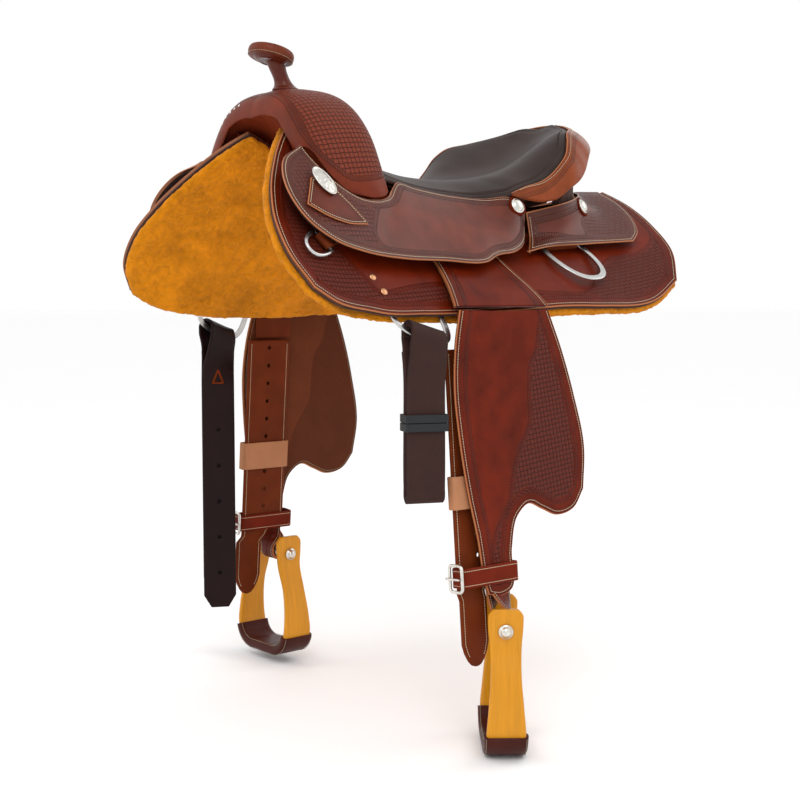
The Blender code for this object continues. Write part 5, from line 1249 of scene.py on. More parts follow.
def make_jockeys():
    """Jockeys from their faces. The tab's height is the jockey's under it, and its concho stands on it."""
    # label, node, button; face, its rows and thickness, smooth panel; coarse rows, the button's row; sewn edges
    for label, node_name, concho, build, rows, thickness, outline, few, at, borders in (
            ("jockey", "seat_jockey", "rear_concho", seat_jockey, 150, 0.005, JOCKEY_SMOOTH, 26, -2,
             ("bottom", "front", "top")),
            ("rear_jockey", "rear_jockey", "cantle_concho", rear_jockey, 110, 0.004, REAR_SMOOTH, 16, 7,
             ("bottom", "rear", "front"))):
        face = build(crowded(rows), crowded(60))
        flat = flattened(face)
        panel, run = panel_values(flat, outline)
        place = on_grid(build(np.linspace(0, 1, few), np.linspace(0, 1, 6)), at, 1)
        for name, sign in SIDES.items():
            piece = leather_sheet(f"{label}_leather_{name}", face, flat, thickness, ["jockey", "edge", "binding"],
                                  sign, {"panel": panel, "panel_run": run}, radius=0.0016)
            settle(piece, "saddle", "skirting_leather", f"{node_name}_{name}")
            sew(f"{label}_stitching_{name}", inset_lines(face, flat, 0.0046, borders), "saddle", sign)
            round_concho(f"{concho}_button_{name}", sign, place, f"{concho}_{name}")
    face = seat_jockey(np.linspace(0, 1, 120), np.linspace(0, 1, 50))
    plan = patch([(-0.270, 0.150), (-0.250, 0.144), (-0.232, 0.156), (-0.196, 0.186)],
                 [(-0.293, 0.194), (-0.268, 0.206), (-0.235, 0.207), (-0.196, 0.190)],
                 [(-0.270, 0.150), (-0.293, 0.194)], [(-0.196, 0.186), (-0.196, 0.190)], crowded(60), crowded(30))
    top = side(plan[..., 0], plan[..., 1], heights_over(face, plan) + 0.0025 + 0.0012)
    flat = flattened(top)
    centre = np.array([[-0.2575, 0.1535]])
    origin, rear, down, out = frame_on_side(-0.2575, 0.1535)
    place = (origin + out * (heights_over(face, centre)[0] + 0.0025 + 0.0030), rear, down, out)
    for name, sign in SIDES.items():
        tab = leather_sheet(f"tab_leather_{name}", top, flat, 0.0025, ["tab", "edge"], sign, radius=0.0010)
        settle(tab, "saddle", "skirting_leather", f"jockey_tab_{name}")
        sew(f"tab_stitching_{name}", inset_lines(top, flat, 0.0036, ("top", "bottom", "front")), "saddle", sign)
        oval_concho(f"front_concho_plate_{name}", sign, place, 62, f"front_concho_{name}")


def heights_over(face, plan):
    """Height of a face over the side surface at each (y, s): its nearest points' heights, weighted by distance."""
    flat = plan.reshape(-1, 2)
    origin = side(flat[:, 0], flat[:, 1])
    rear = unit(side(flat[:, 0] + 0.002, flat[:, 1]) - origin)
    down = unit(side(flat[:, 0], flat[:, 1] + 0.002) - origin)
    out = np.cross(down, rear)
    away = face.reshape(1, -1, 3) - origin[:, None]
    along, below, height = (np.einsum("nmk,nk->nm", away, d) for d in (rear, down, out))
    gap = along**2 + below**2 + np.where(np.abs(height) < 0.05, 0, 1)
    weight = np.exp(-(gap - gap.min(axis=1)[:, None]) / 0.0030**2)
    return ((weight * height).sum(1) / weight.sum(1)).reshape(plan.shape[:-1])


# Hardware on the sides

def dee_outline(width, depth, band, count, fullness=0.9):
    """D ring's centre line: a straight bar and an arc; the lower the fullness, the squarer the arc."""
    half, reach = (width - band) / 2, depth - band
    turns = np.radians(np.linspace(0, 180, count))
    c, s = np.cos(turns), np.clip(np.sin(turns), 0, 1)
    arc = np.stack([half * np.sign(c) * np.abs(c) ** fullness, reach * (0.18 + 0.82 * s ** fullness)], -1)
    return np.concatenate([[(half * k, 0.0) for k in (-1, -0.5, 0, 0.5, 1)], arc])


def plate_dee(name, sign, place, size, bar_band, fullness, body, node_name, plate=0.0):
    """D ring of flat bar with rounded edges; place(along, away, level) gives its points."""
    width, depth, band = size
    points = dee_outline(width, depth, band, 61, fullness)
    middle = points.mean(axis=0)
    along = headings(points, True)
    normal = np.stack([along[:, 1], -along[:, 0]], -1)
    normal *= np.sign(np.sum(normal * (points - middle), axis=1))[:, None]
    outer, inner = points + normal * band / 2, points - normal * band / 2
    corner = np.array([band / 2 * np.sign(points[k, 0]) if k in (0, 4) else 0 for k in range(5)])
    outer[:5] = np.stack([points[:5, 0] + corner, np.full(5, -bar_band / 2 - plate)], -1)
    inner[:5] = np.stack([points[:5, 0] - corner, np.full(5, bar_band / 2)], -1)
    turns = np.arange(20) * 2 * np.pi / 20
    c, s = np.cos(turns), np.sin(turns)
    a = (np.sign(c) * np.abs(c) ** 0.35)[None, :, None]
    b = np.sign(s) * np.abs(s) ** 0.7 * DEE_THICKNESS / 2
    flat = (outer + inner)[:, None] / 2 + a * (outer - inner)[:, None] / 2
    rings = place(flat[..., 0], flat[..., 1], np.broadcast_to(b, flat.shape[:2]))
    return settle(tube(name, rings, "steel", sign, True), body, "stainless_steel", node_name)


def in_frame(frame_here):
    """Gives place(along, away, level) for an origin and three directions."""
    origin, bar, away, out = frame_here

    def place(a, b, level):
        a, b, level = (np.asarray(k)[..., None] for k in (a, b, level))
        return origin + bar * a + away * b + out * level
    return place


def folded_tab(name, sign, origin, bar, away, out, radius, width, length, node_name):
    """Leather tab folded round a dee's bar: one leg lies under the other, both run back from the bar."""
    thickness = 0.0022
    bend = radius + RUNNING_GAP + thickness / 2
    leg = thickness / 2 + 0.0004
    stops = [(-length, -bend + leg), (-length * 0.45, -bend + leg), (-bend * 1.3, -bend * 0.96)]
    stops += [(bend * math.sin(t), -bend * math.cos(t)) for t in np.radians(np.arange(0, 181, 15))]
    stops += [(-bend * 1.6, bend * 0.80), (-length * 0.45, -bend + 3.4 * leg), (-length, -bend + 3.2 * leg)]
    path = smooth(np.array([origin + away * a + out * b for a, b in stops]), 70)
    tab = strap(name, path, bar, width, thickness, "strap", sign, columns=9)
    settle(tab, "saddle", "skirting_leather", node_name)


def make_dees():
    """Round wire or flat bar on D outlines, at set places on the side; returns the rigging dees' bars."""
    turn = math.radians(57)
    origin, rear, down, out = frame_on_side(-0.270, 0.229, BREAST_DEE_WIRE + 2 * RUNNING_GAP + 0.0022 + GAP)
    bar = rear * math.cos(turn) + down * math.sin(turn)
    away = np.cross(bar, out)
    ring = dee_outline(BREAST_DEE_WIDTH, BREAST_DEE_DEPTH, 2 * BREAST_DEE_WIRE, 49)
    bar_half = 0.5 * math.hypot(DEE_THICKNESS, 0.005)
    lower = frame_on_side(0.186, 0.124, bar_half + 2 * RUNNING_GAP + 0.0022 + GAP)
    for name, sign in SIDES.items():
        points = origin + bar * ring[:, :1] + away * ring[:, 1:]
        dee = wire(f"breast_dee_ring_{name}", points, BREAST_DEE_WIRE, "steel", sign, sides=20)
        settle(dee, f"breast_dee_{name}", "stainless_steel", f"breast_dee_{name}")
        folded_tab(f"breast_dee_strap_{name}", sign, origin, bar, away, out, BREAST_DEE_WIRE,
                   BREAST_DEE_WIDTH - 6 * BREAST_DEE_WIRE, 0.030, f"breast_dee_tab_{name}")
        plate_dee(f"rear_dee_ring_{name}", sign, in_frame(lower), (REAR_DEE_WIDTH, REAR_DEE_DEPTH, REAR_DEE_BAND),
                  0.005, 0.85, f"rear_dee_{name}", f"rear_dee_{name}")
        folded_tab(f"rear_dee_strap_{name}", sign, *lower, bar_half,
                   REAR_DEE_WIDTH - 2.6 * REAR_DEE_BAND, 0.015, f"rear_dee_tab_{name}")
    level = -(SKIRT_THICKNESS + DEE_THICKNESS / 2 + 0.0010)
    bars = {}
    for name, sign in SIDES.items():
        y0, s0 = RIGGING_PLACE[sign]

        def place(a, b, height):
            return side(y0 + np.asarray(a), s0 + np.asarray(b), level + np.asarray(height))

        plate_dee(f"rigging_ring_{name}", sign, place, (RIGGING_WIDTH, RIGGING_DEPTH, RIGGING_BAND), RIGGING_BAND,
                  0.55, "saddle", f"rigging_dee_{name}", plate=0.012)
        away = RIGGING_DEPTH - RIGGING_BAND
        along = place(0.012, away, 0) - place(-0.012, away, 0)
        bars[sign] = (place(0.0, away, 0), unit(along))
    return bars


# Leathers, fenders and stirrups

def hinge_point():
    """On the fender's inner face, just outside the stirrup leather's lower end."""
    edge = np.array(SKIRT_BOTTOM)
    reach = float(blend_slopes(edge[:, 1], edge[:, 0], np.array(HINGE_Y)))
    return side(HINGE_Y, reach + 0.004, HEAD_HEIGHT) + np.array([2 * RUNNING_GAP + LOOP_THICKNESS, 0, 0])


def hang(y, w, off=0.0):
    """Point in the hanging plane: y along the saddle, w down from the hinge line, off outward."""
    y, w, off = np.broadcast_arrays(np.asarray(y, float), w, off)
    return hinge_point() * (1, 0, 1) + REARWARD * y[..., None] + DOWN * w[..., None] + OUT * off[..., None]


def bolt_place(sign):
    """The bolt's centre in the hanging plane, and its direction turned level out of X."""
    turn = math.radians(STIRRUP_TURN[sign])
    return hang(STIRRUP_Y, STIRRUP_DROP[sign], -0.002), np.array([math.cos(turn), -math.sin(turn), 0])


def neck_path(sign):
    """From inside the fender's neck down to the bolt, half a turn round its spacer, and up behind."""
    centre, bolt = bolt_place(sign)
    bend = SPACER_RADIUS + 0.0015 + 0.002
    face = np.cross((0, 0, 1.0), bolt) * bend
    start, end = hang(NECK_MIDDLE_Y, 0.352, 0.003), hang(NECK_MIDDLE_Y, 0.352, RETURN_LEVEL)
    share = np.linspace(0.13, 1.0, 13)[:, None]
    ease = eased(np.clip((share - 0.06) / 0.88, 0, 1))
    t = np.radians((36, 72, 108, 144))[:, None]
    way = REARWARD * (1 - ease) - bolt * ease
    points = [[start - DOWN * 0.010, start], start * (1 - share) + centre * share + face * ease,
              centre + face * np.cos(t) - np.array([0, 0, bend]) * np.sin(t),
              (end * (1 - share) + centre * share - face * ease)[::-1],
              [end, hang(NECK_MIDDLE_Y, 0.33, RETURN_LEVEL), hang(NECK_MIDDLE_Y, SLEEVE_DROP - 0.005, RETURN_LEVEL)]]
    ways = [[REARWARD] * 2, way, np.broadcast_to(-bolt, (4, 3)), way[::-1], [REARWARD] * 3]
    return np.concatenate(points), np.concatenate(ways)


def make_leather_top(name, sign):
    """Upper end of the leathers on the skirt: it rises over the hinge to be flush with the fender's face."""
    level = hinge_point()[2] + 0.0026
    s = np.linspace(0.15, 0.30, 300)
    low = [(y, float(np.interp(-level, -side(np.full(300, y), s, HEAD_HEIGHT)[:, 2], s)))
           for y in (-0.096, -0.055, -0.015, 0.025, 0.062)]
    v = crowded(60, 0.6)
    plan = patch([(-0.080, 0.112), (-0.016, 0.112), (0.044, 0.112)], low,
                 [(-0.080, 0.112), (-0.080, 0.185), low[0]], [(0.044, 0.112), (0.053, 0.185), low[-1]],
                 crowded(90), v)
    rise = np.clip((v - 0.35) / 0.65, 0, 1)[None]
    face = side(plan[..., 0], plan[..., 1], HEAD_HEIGHT + 0.0086 * eased(rise))
    flat = flattened(face)
    sides = np.concatenate([flat[0], flat[0, -1:] + (0, 10), flat[-1, -1:] + (0, 10), flat[-1, ::-1]])
    stamped = [(0.036, 0.050), (0.041, 0.080), (0.047, 0.140), (0.052, 0.300), (0.150, 0.300), (0.150, 0.050)]
    panel, run = panel_values(flat, stamped, True)
    top = leather_sheet(f"fender_head_{name}", face, flat, 0.0045, ["fender", "fender"], sign,
                        {"panel": panel, "panel_run": run}, radius=0.0008, border=sides)
    settle(top, "saddle", "skirting_leather", f"leather_top_{name}")
    sew(f"fender_head_stitching_{name}", inset_lines(face, flat, 0.0050, ("front", "rear"), sides), "saddle", sign)


def punch(obj, centres, way, radius, sign, reach=(-0.02, 0.02)):
    """Cuts a row of round holes, then keeps the cut mesh."""
    turns = np.arange(16) * 2 * np.pi / 16
    first = unit(np.cross(way, (0.0, 1.0, 0.0)))
    second = np.cross(way, first)
    ring = circle(turns, first, second)
    # The cutting rods carry the near-black hole finish, painted shade for the holes' walls.
    rods = [tube(f"rod_{number}", [centre + way * a + ring * radius for a in reach], "hole", sign)
            for number, centre in enumerate(centres)]
    for rod in rods:
        step = obj.modifiers.new("hole", "BOOLEAN")
        step.operation = "DIFFERENCE"
        step.solver = "EXACT"
        step.object = rod
    bpy.context.view_layer.update()
    cut = bpy.data.meshes.new_from_object(obj.evaluated_get(bpy.context.evaluated_depsgraph_get()))
    obj.modifiers.clear()
    obj.data = cut
    for rod in rods:
        bpy.data.objects.remove(rod, do_unlink=True)


def ring_path(width, low, high, corner, count=8):
    """Rounded rectangle as (along, out) pairs: width across, from low to high outward."""
    turns = np.concatenate([np.linspace(start, start + 90, count) for start in (0, 90, 180, 270)])
    cx = np.repeat([width / 2 - corner, corner - width / 2, corner - width / 2, width / 2 - corner], count)
    cy = np.repeat([high - corner, high - corner, low + corner, low + corner], count)
    return np.stack([cx + corner * np.cos(np.radians(turns)), cy + corner * np.sin(np.radians(turns))], -1)


def dense(points, pitch):
    """Closed path with points added on its straight runs."""
    points = np.asarray(points, float)
    closed = np.concatenate([points, points[:1]])
    travelled = length_along(closed)
    at = np.linspace(0, travelled[-1], int(travelled[-1] / pitch), endpoint=False)
    return np.stack([np.interp(at, travelled, closed[:, k]) for k in range(closed.shape[1])], -1)


def band_round(name, sign, middle_y, drop, width, low, high, height, thickness, key, corner):
    """A closed strap on a rounded rectangle in the hanging plane."""
    path = dense(ring_path(width, low, high, corner), 0.0012)
    points = hang(middle_y + path[:, 0], drop, path[:, 1])
    return strap(name, points, DOWN, height, thickness, key, sign, closed=True, columns=9), points


def make_fender(name, sign):
    """Fender: a patch in the hanging plane. Neck: a strap that twists along its path."""
    body = f"fender_{name}"
    plan = patch([FENDER_FRONT[0], (-0.020, 0.000), FENDER_REAR[0]], FENDER_LOWER, FENDER_FRONT, FENDER_REAR,
                 crowded(150), crowded(150))
    face = hang(plan[..., 0], plan[..., 1], FENDER_THICKNESS)
    panel, run = panel_values(plan, FENDER_STAMPED, True)
    fender = leather_sheet(f"fender_leather_{name}", face, plan, FENDER_THICKNESS - 0.0006,
                           ["fender", "fender", "flesh"], sign, {"panel": panel, "panel_run": run}, radius=0.0020,
                           border=open_rim(plan))
    settle(fender, body, "skirting_leather", body)
    rows = inset_lines(face, plan, 0.0050, ("front", "bottom", "rear"), open_rim(plan))
    sew(f"fender_stitching_{name}", rows, body, sign)
    back = [(line - OUT * (FENDER_THICKNESS - 0.0004), np.broadcast_to(-OUT, line.shape)) for line, _ in rows]
    sew(f"fender_back_stitching_{name}", back, body, sign, "thread_tan")
    path, ways = neck_path(sign)
    at, count = length_along(path), 260
    path, ways = smooth(path, count), blend_slopes(ways, at, np.linspace(0, at[-1], count))
    neck = strap(f"fender_neck_{name}", path, ways, NECK_WIDTH, 0.004, "fender", sign, square=False, columns=13)
    settle(neck, body, "skirting_leather")
    ways = unit(ways)
    outs = unit(np.cross(np.gradient(path, axis=0), ways))
    lines = [(path + ways * (k * (NECK_WIDTH / 2 - 0.0040)) + outs * 0.0021 * f, outs * f)
             for k in (-1, 1) for f in (-1, 1)]
    sew(f"neck_stitching_{name}", lines, body, sign)


def make_stirrup_leather(name, sign):
    """Inner strap: it hangs behind the fender, is punched with holes and ends in a point."""
    tip, middle, wide = STRAP_TIP_Y[sign], STRAP_MIDDLE_Y, STRAP_WIDTH
    stops = [(0.048, middle, wide), (0.343, middle, wide), (0.357, middle - 0.0135, 0.049),
             (0.364, middle - 0.0150, 0.047)]
    stops += [(drop, tip, share * STRAP_TIP_WIDTH) for drop, share in (
        (0.373, 1), (0.430, 1), (0.442, 0.84), (0.452, 0.60), (0.458, 0.36), (0.460, 0.12))]
    stops = np.array(stops)
    drops = np.concatenate([np.linspace(0.048, 0.343, 110), np.linspace(0.345, 0.4598, 70)])
    y = np.interp(drops, stops[:, 0], stops[:, 1])
    widths = np.interp(drops, stops[:, 0], stops[:, 2])
    path = hang(y, drops, LEATHER_LEVEL)
    piece = strap(f"leather_strap_{name}", path, REARWARD, widths, STRAP_THICKNESS, "strap", sign, square=False,
                  columns=21)
    holes = hang(np.full(10, middle), np.arange(0.060, 0.34, HOLE_SPACING)[:10], LEATHER_LEVEL)
    punch(piece, holes, OUT, HOLE_RADIUS, sign)
    settle(piece, f"fender_{name}", "skirting_leather", f"stirrup_leather_{name}")
    rows = path[2:-8], (widths / 2 - 0.0050)[2:-8, None]
    lines = [(rows[0] + REARWARD * (edge * rows[1]) + OUT * f * 0.0021, np.broadcast_to(OUT * f, rows[0].shape))
             for edge in (-1, 1) for f in (-1, 1)]
    sew(f"strap_stitching_{name}", lines, f"fender_{name}", sign)


def make_buckle(name, sign, front_y, level):
    """Rectangular wire frame in front of the hobble strap, and the tongue that turns on its rear bar."""
    depth = 0.024
    path = ring_path(depth, -HOBBLE_WIDTH / 2 - 0.004, HOBBLE_WIDTH / 2 + 0.004, 0.0052, 9)
    points = dense(hang(front_y, HOBBLE_DROP + path[:, 1], level + depth / 2 + path[:, 0]), 0.0012)
    settle(wire(f"buckle_frame_{name}", points, BUCKLE_WIRE, "silver", sign, sides=16), f"fender_{name}",
           "stainless_steel", f"hobble_buckle_{name}")
    bar = hang(front_y - 2 * BUCKLE_WIRE - 0.0004, HOBBLE_DROP, level)
    tip = hang(front_y - 2 * BUCKLE_WIRE - 0.0004, HOBBLE_DROP, level + depth)
    way = unit(tip - bar)
    shares = np.linspace(-0.002, depth, 30)[:, None]
    radius = 0.0016 * np.clip(np.sqrt(np.clip((depth + 0.0006 - shares[:, 0]) / 0.004, 0.02, 1)), 0, 1)
    settle(wire(f"tongue_pin_{name}", bar + way * shares, radius, "silver", sign, closed=False, sides=14),
           f"tongue_{name}", "stainless_steel", f"buckle_tongue_{name}")


def make_leathers(name, sign):
    """One side's leathers: a loop at the hinge, the head, fender and strap, and two bands round them."""
    lines = np.linspace(0.001, 0.0455, 24)
    loop = strap(f"leather_end_{name}", hang(STRAP_MIDDLE_Y + 0.012, lines, -RUNNING_GAP - LOOP_THICKNESS / 2),
                 REARWARD, 0.064, LOOP_THICKNESS, "strap", sign, columns=11)
    settle(loop, f"leathers_{name}", "skirting_leather", f"leather_loop_{name}")
    make_leather_top(name, sign)
    make_fender(name, sign)
    make_stirrup_leather(name, sign)
    half = SLEEVE_THICKNESS / 2
    sleeve, _ = band_round(f"sleeve_leather_{name}", sign, STRAP_MIDDLE_Y, SLEEVE_DROP,
                           STRAP_WIDTH + 2 * half + 0.004, BAND_LEVEL - half, -RUNNING_GAP - half, SLEEVE_HEIGHT,
                           SLEEVE_THICKNESS, "sleeve", 0.0035)
    settle(sleeve, f"sleeve_{name}", "natural_leather", f"buckle_sleeve_{name}")
    half = HOBBLE_THICKNESS / 2
    width, low = STRAP_WIDTH + 2 * half + 0.016, BAND_LEVEL - half
    high, middle = FENDER_THICKNESS + RUNNING_GAP + half, STRAP_MIDDLE_Y + 0.006
    band, points = band_round(f"hobble_band_{name}", sign, middle, HOBBLE_DROP, width, low, high, HOBBLE_WIDTH,
                              HOBBLE_THICKNESS, "hobble", 0.005)
    settle(band, f"fender_{name}", "skirting_leather", f"hobble_strap_{name}")
    closed = np.concatenate([points, points[:1]])
    outs = unit(np.cross(np.gradient(closed, axis=0), DOWN))
    centre = points.mean(axis=0)
    outs *= np.sign(np.sum(outs * (closed - centre), axis=1))[:, None]
    rows = [(closed + DOWN * k * (HOBBLE_WIDTH / 2 - 0.0036) + outs * (half + 0.0001), outs) for k in (-1, 1)]
    sew(f"hobble_stitching_{name}", rows, f"fender_{name}", sign)
    make_buckle(name, sign, middle - width / 2 - half - BUCKLE_WIRE - GAP, low)


def stirrup_path():
    """Centre line of the bent wood: (along the bolt, height from the bolt, width) from top to top."""
    half = [(STIRRUP_TOP_SPREAD, 0.028, 0.047), (STIRRUP_TOP_SPREAD, 0.0, 0.96 * 0.047),
            (STIRRUP_TOP_SPREAD + 0.0002, -0.016, 0.90 * 0.047), (0.88 * STIRRUP_SPREAD, -0.058, 0.040),
            (STIRRUP_SPREAD, -0.098, 0.90 * 0.051)]
    corner, foot = 0.034, -STIRRUP_DEPTH + STIRRUP_WALL / 2
    half += [(STIRRUP_SPREAD - corner + corner * math.cos(t), foot + corner - corner * math.sin(t), 0.051)
             for t in np.radians((12, 34, 56, 78))]
    half.append((0.014, foot, 0.051))
    return np.array(half + [(-a, b, w) for a, b, w in reversed(half)])


def make_stirrup(name, sign):
    """Wood and tread: straps on one smooth path of set widths. Bolt: a turned profile with two heads."""
    centre, bolt = bolt_place(sign)
    wide = np.cross(UP, bolt)
    body = f"stirrup_{name}"
    stops = stirrup_path()
    fine = smooth(stops, 300)
    path = centre + bolt * fine[:, :1] + UP * fine[:, 1:2]
    widths = fine[:, 2].copy()
    ends = np.minimum(np.arange(300), np.arange(300)[::-1])
    widths *= 1 - 0.30 * np.clip(1 - ends / 7, 0, 1) ** 2
    wood = strap(f"stirrup_wood_{name}", path, wide, widths, STIRRUP_WALL, "wood", sign, columns=15, corner=0.4)
    settle(wood, body, "varnished_wood", f"stirrup_{name}")
    low = fine[:, 1] < stops[5, 1] + 0.001
    tread = strap(f"tread_leather_{name}", path[low], wide, widths[low] + 2 * (GAP + TREAD_LEATHER),
                  STIRRUP_WALL + 2 * (GAP + TREAD_LEATHER), "tread", sign, columns=15, corner=0.35)
    settle(tread, body, "dark_leather", f"stirrup_tread_{name}")
    loose = GAP + TREAD_LEATHER
    along = headings(path[low])
    inward = np.cross(along, wide)
    inward *= np.sign(np.sum(inward * (centre - UP * 0.09 - path[low]), axis=1))[:, None]
    half = widths[low][:, None] / 2 + loose
    rows = [(path[low] + wide * k * (half - 0.0030) - inward * (STIRRUP_WALL / 2 + loose) * f, -inward * f)
            for k in (-1, 1) for f in (1, -1)]
    sew(f"tread_stitching_{name}", rows, body, sign, "thread_tan")
    wall, inner = STIRRUP_TOP_SPREAD + STIRRUP_WALL / 2, STIRRUP_TOP_SPREAD - STIRRUP_WALL / 2 - 0.0010
    head = [(-wall - 0.0032 - 0.0055 * math.sin(a), 0.0068 * math.cos(a)) for a in np.radians(np.linspace(86, 6, 10))]
    half_profile = head + [(-wall - 0.0030, 0.0088), (-wall - 0.0024, 0.0095), (-wall - 0.0012, 0.0095),
                           (-wall - 0.0009, 0.0090), (-wall - 0.0008, 0.0040), (-inner, 0.0040),
                           (-inner + 0.0005, SPACER_RADIUS)]
    profile = half_profile + [(-a, r) for a, r in reversed(half_profile)]
    settle(turned_piece(f"bolt_pin_{name}", centre, bolt, profile, "silver", sign, 48), body, "stainless_steel",
           f"stirrup_bolt_{name}")


# Latigo and billet

def hung_path(bar, along, turn, stops):
    """Points and width directions of a strap given as (out from the bar's line, drop below it)."""
    out, drop = np.asarray(stops, float).T
    share = eased(np.clip((drop - 0.012) / 0.078, 0, 1))
    start = math.degrees(math.atan2(along[0], along[1]))
    angle = np.radians(start * (1 - share) + turn * share)
    slope = along[2] * (1 - share)
    level = np.sqrt(1 - slope * slope)
    ways = np.stack([level * np.sin(angle), level * np.cos(angle), slope], -1)
    faces = np.stack([np.cos(angle), -np.sin(angle), 0 * angle], -1)
    return bar + faces * out[:, None] - UP * drop[:, None], ways


def make_latigo(bar, along):
    """Webbing wound in flat turns over the dee, each turn a pitch outside the last, ribbed across."""
    first, pinch = 0.0090, 0.0072
    drops, stops = (0.018, 0.055, 0.100, 0.190), []

    def drawn_in(drop):
        return min(max((drop - 0.012) / 0.040, 0), 1)

    for turn in range(LATIGO_TURNS):
        for k, t in enumerate(np.radians(np.arange(-90, 90, 30))):
            r = first + LATIGO_PITCH * (turn + k / 24)
            stops.append((r * math.sin(t), -r * math.cos(t)))
        stops += [(first + LATIGO_PITCH * (turn + 0.25 + k / 16) - pinch * drawn_in(drop), drop)
                  for k, drop in enumerate(drops)]
        for k, t in enumerate(np.radians((30, 90, 150))):
            r = first + LATIGO_PITCH * (turn + 0.5 + k / 32) - pinch
            stops.append((r * math.cos(t), LATIGO_LENGTH + r * math.sin(t)))
        stops += [(-(first + LATIGO_PITCH * (turn + 0.70 + k / 16) - pinch * drawn_in(drop)), drop)
                  for k, drop in enumerate(reversed(drops))]
    fine = smooth(stops, 2400)
    points, ways = hung_path(bar, along, LATIGO_TURN, fine)
    travelled = length_along(points)
    ribs = WEBBING_THICKNESS * (0.86 + 0.16 * np.abs(np.sin(np.pi * travelled / 0.0036)))
    piece = strap("latigo_webbing", points, ways, WEBBING_WIDTH, ribs, "webbing", columns=7)
    settle(piece, "latigo", "nylon_webbing", "latigo")
    half = first - pinch + LATIGO_PITCH * LATIGO_TURNS + WEBBING_THICKNESS / 2 + 0.001 + 2 * RUNNING_GAP
    turn = math.radians(LATIGO_TURN)
    way, face = np.array([math.sin(turn), math.cos(turn), 0]), np.array([math.cos(turn), -math.sin(turn), 0])
    path = dense(ring_path(WEBBING_WIDTH + 0.006, -half, half, 0.0022), 0.0012)
    for number, shift in enumerate((0.0056, -0.0056)):
        centre = bar - UP * (BAND_DROP + shift)
        ring = centre + way * path[:, :1] + face * path[:, 1:]
        wrap = strap(f"latigo_wrap_{number}", ring, UP, 0.0106, 0.002, "band", closed=True, columns=7)
        settle(wrap, "latigo", "rubber", *(["latigo_band"] if number == 0 else []))


def make_billet(bar, along):
    """Leather billet folded over the off dee: two legs of unlike length, punched with holes."""
    bend, lie = 0.0122, BILLET_THICKNESS / 2 + 0.0006
    stops = [(lie, BILLET_LENGTHS[0]), (lie, 0.30), (lie, 0.16), (lie, 0.065), (0.7 * bend, 0.028)]
    stops += [(bend * math.cos(t), -bend * math.sin(t)) for t in np.radians(np.arange(0, 181, 30))]
    stops += [(-0.7 * bend, 0.028), (-lie, 0.065), (-lie, 0.16), (-lie, 0.30), (-lie, BILLET_LENGTHS[1])]
    path, ways = hung_path(bar, along, BILLET_TURN, smooth(stops, 420))
    ends = np.minimum(np.arange(420), np.arange(420)[::-1])
    widths = WEBBING_WIDTH * (1 - 0.45 * np.clip(1 - ends / 9, 0, 1))
    piece = strap("billet_leather", path, ways, widths, BILLET_THICKNESS, "billet", -1, columns=15)
    turn = math.radians(BILLET_TURN)
    face = np.array([math.cos(turn), -math.sin(turn), 0])
    way = np.array([math.sin(turn), math.cos(turn), 0])
    punch(piece, [bar - UP * (0.150 + BILLET_HOLE_SPACING * k) for k in range(5)], face,
          HOLE_RADIUS, -1, (-0.02, 0.0))
    settle(piece, "billet", "dark_leather", "off_billet")
    level = BILLET_THICKNESS + 0.0012
    for number, f in enumerate((1, -1)):
        corners = [bar - UP * 0.078 + way * a + face * level * f for a in (-0.008, 0.008)]
        corners.append(bar - UP * 0.058 + face * level * f)
        lace = strap(f"billet_lace_{number}", dense(np.array(corners), 0.0015), face, 0.0022, 0.0034, "lace", -1,
                     closed=True, columns=3)
        settle(lace, "billet", "skirting_leather")


# Tree and stage

def dress_tree():
    """Gives the hidden CAD solids a finish: leather on the tree, rough leather on the ground seat."""
    looks = {"tree_bar_near": "gullet", "tree_bar_off": "gullet", "tree_fork": "gullet",
             "tree_cantle": "binding", "ground_seat": "flesh_plain"}
    for name, key in looks.items():
        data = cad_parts[name].data
        if not data.materials:
            data.materials.append(None)
        for number in range(len(data.materials)):
            data.materials[number] = finish(key)


def make_stage():
    """A wide floor under the object, three soft lights aimed at it, and a plain white world."""
    scene = bpy.context.scene
    look = scene.saddle_look
    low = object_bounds()[0][2] - 0.0005
    size = 60.0
    mesh = bpy.data.meshes.new("floor")
    mesh.from_pydata([(-size, -size, low), (size, -size, low), (size, size, low), (-size, size, low)], [],
                     [(0, 1, 2, 3)])
    floor = bpy.data.objects.new("floor", mesh)
    scene.collection.objects.link(floor)
    made, tree, where = surface("look_floor")
    pale = mix(tree, clouds(tree, where, 3.0, 2.0), (0.97, 0.97, 0.97, 1), (0.99, 0.99, 0.99, 1))
    mesh.materials.append(cover(made, Base_Color=pale, Roughness=0.9))
    stand_ins = [floor]
    for name, at, power, width in (("key", (1.9, -1.5, 1.9), look.key_power, 1.6),
                                   ("fill", (-1.4, -2.4, 1.2), look.fill_power, 2.2),
                                   ("rear", (1.2, 2.6, 1.6), look.rear_power, 1.8)):
        light = bpy.data.lights.new(name, "AREA")
        light.energy, light.size, light.shape = power, width, "DISK"
        holder = bpy.data.objects.new(name, light)
        scene.collection.objects.link(holder)
        way = Vector((0, 0, -0.15)) - Vector(at)
        holder.matrix_world = Matrix.Translation(at) @ way.to_track_quat("-Z", "Y").to_matrix().to_4x4()
        stand_ins.append(holder)
    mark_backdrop(*stand_ins)
    world = bpy.data.worlds.new("studio")
    world.use_nodes = True
    scene.world = world
    tree = world.node_tree
    back = tree.nodes["Background"]
    rays = tree.nodes.new("ShaderNodeLightPath")
    seen = Wire(tree, rays.outputs["Is Camera Ray"])
    join(tree, mix(tree, seen, (look.sky, look.sky, look.sky, 1), (1.0, 1.0, 1.0, 1)), back.inputs["Color"])
    place_camera(scene)
    scene.view_settings.view_transform = "Standard"


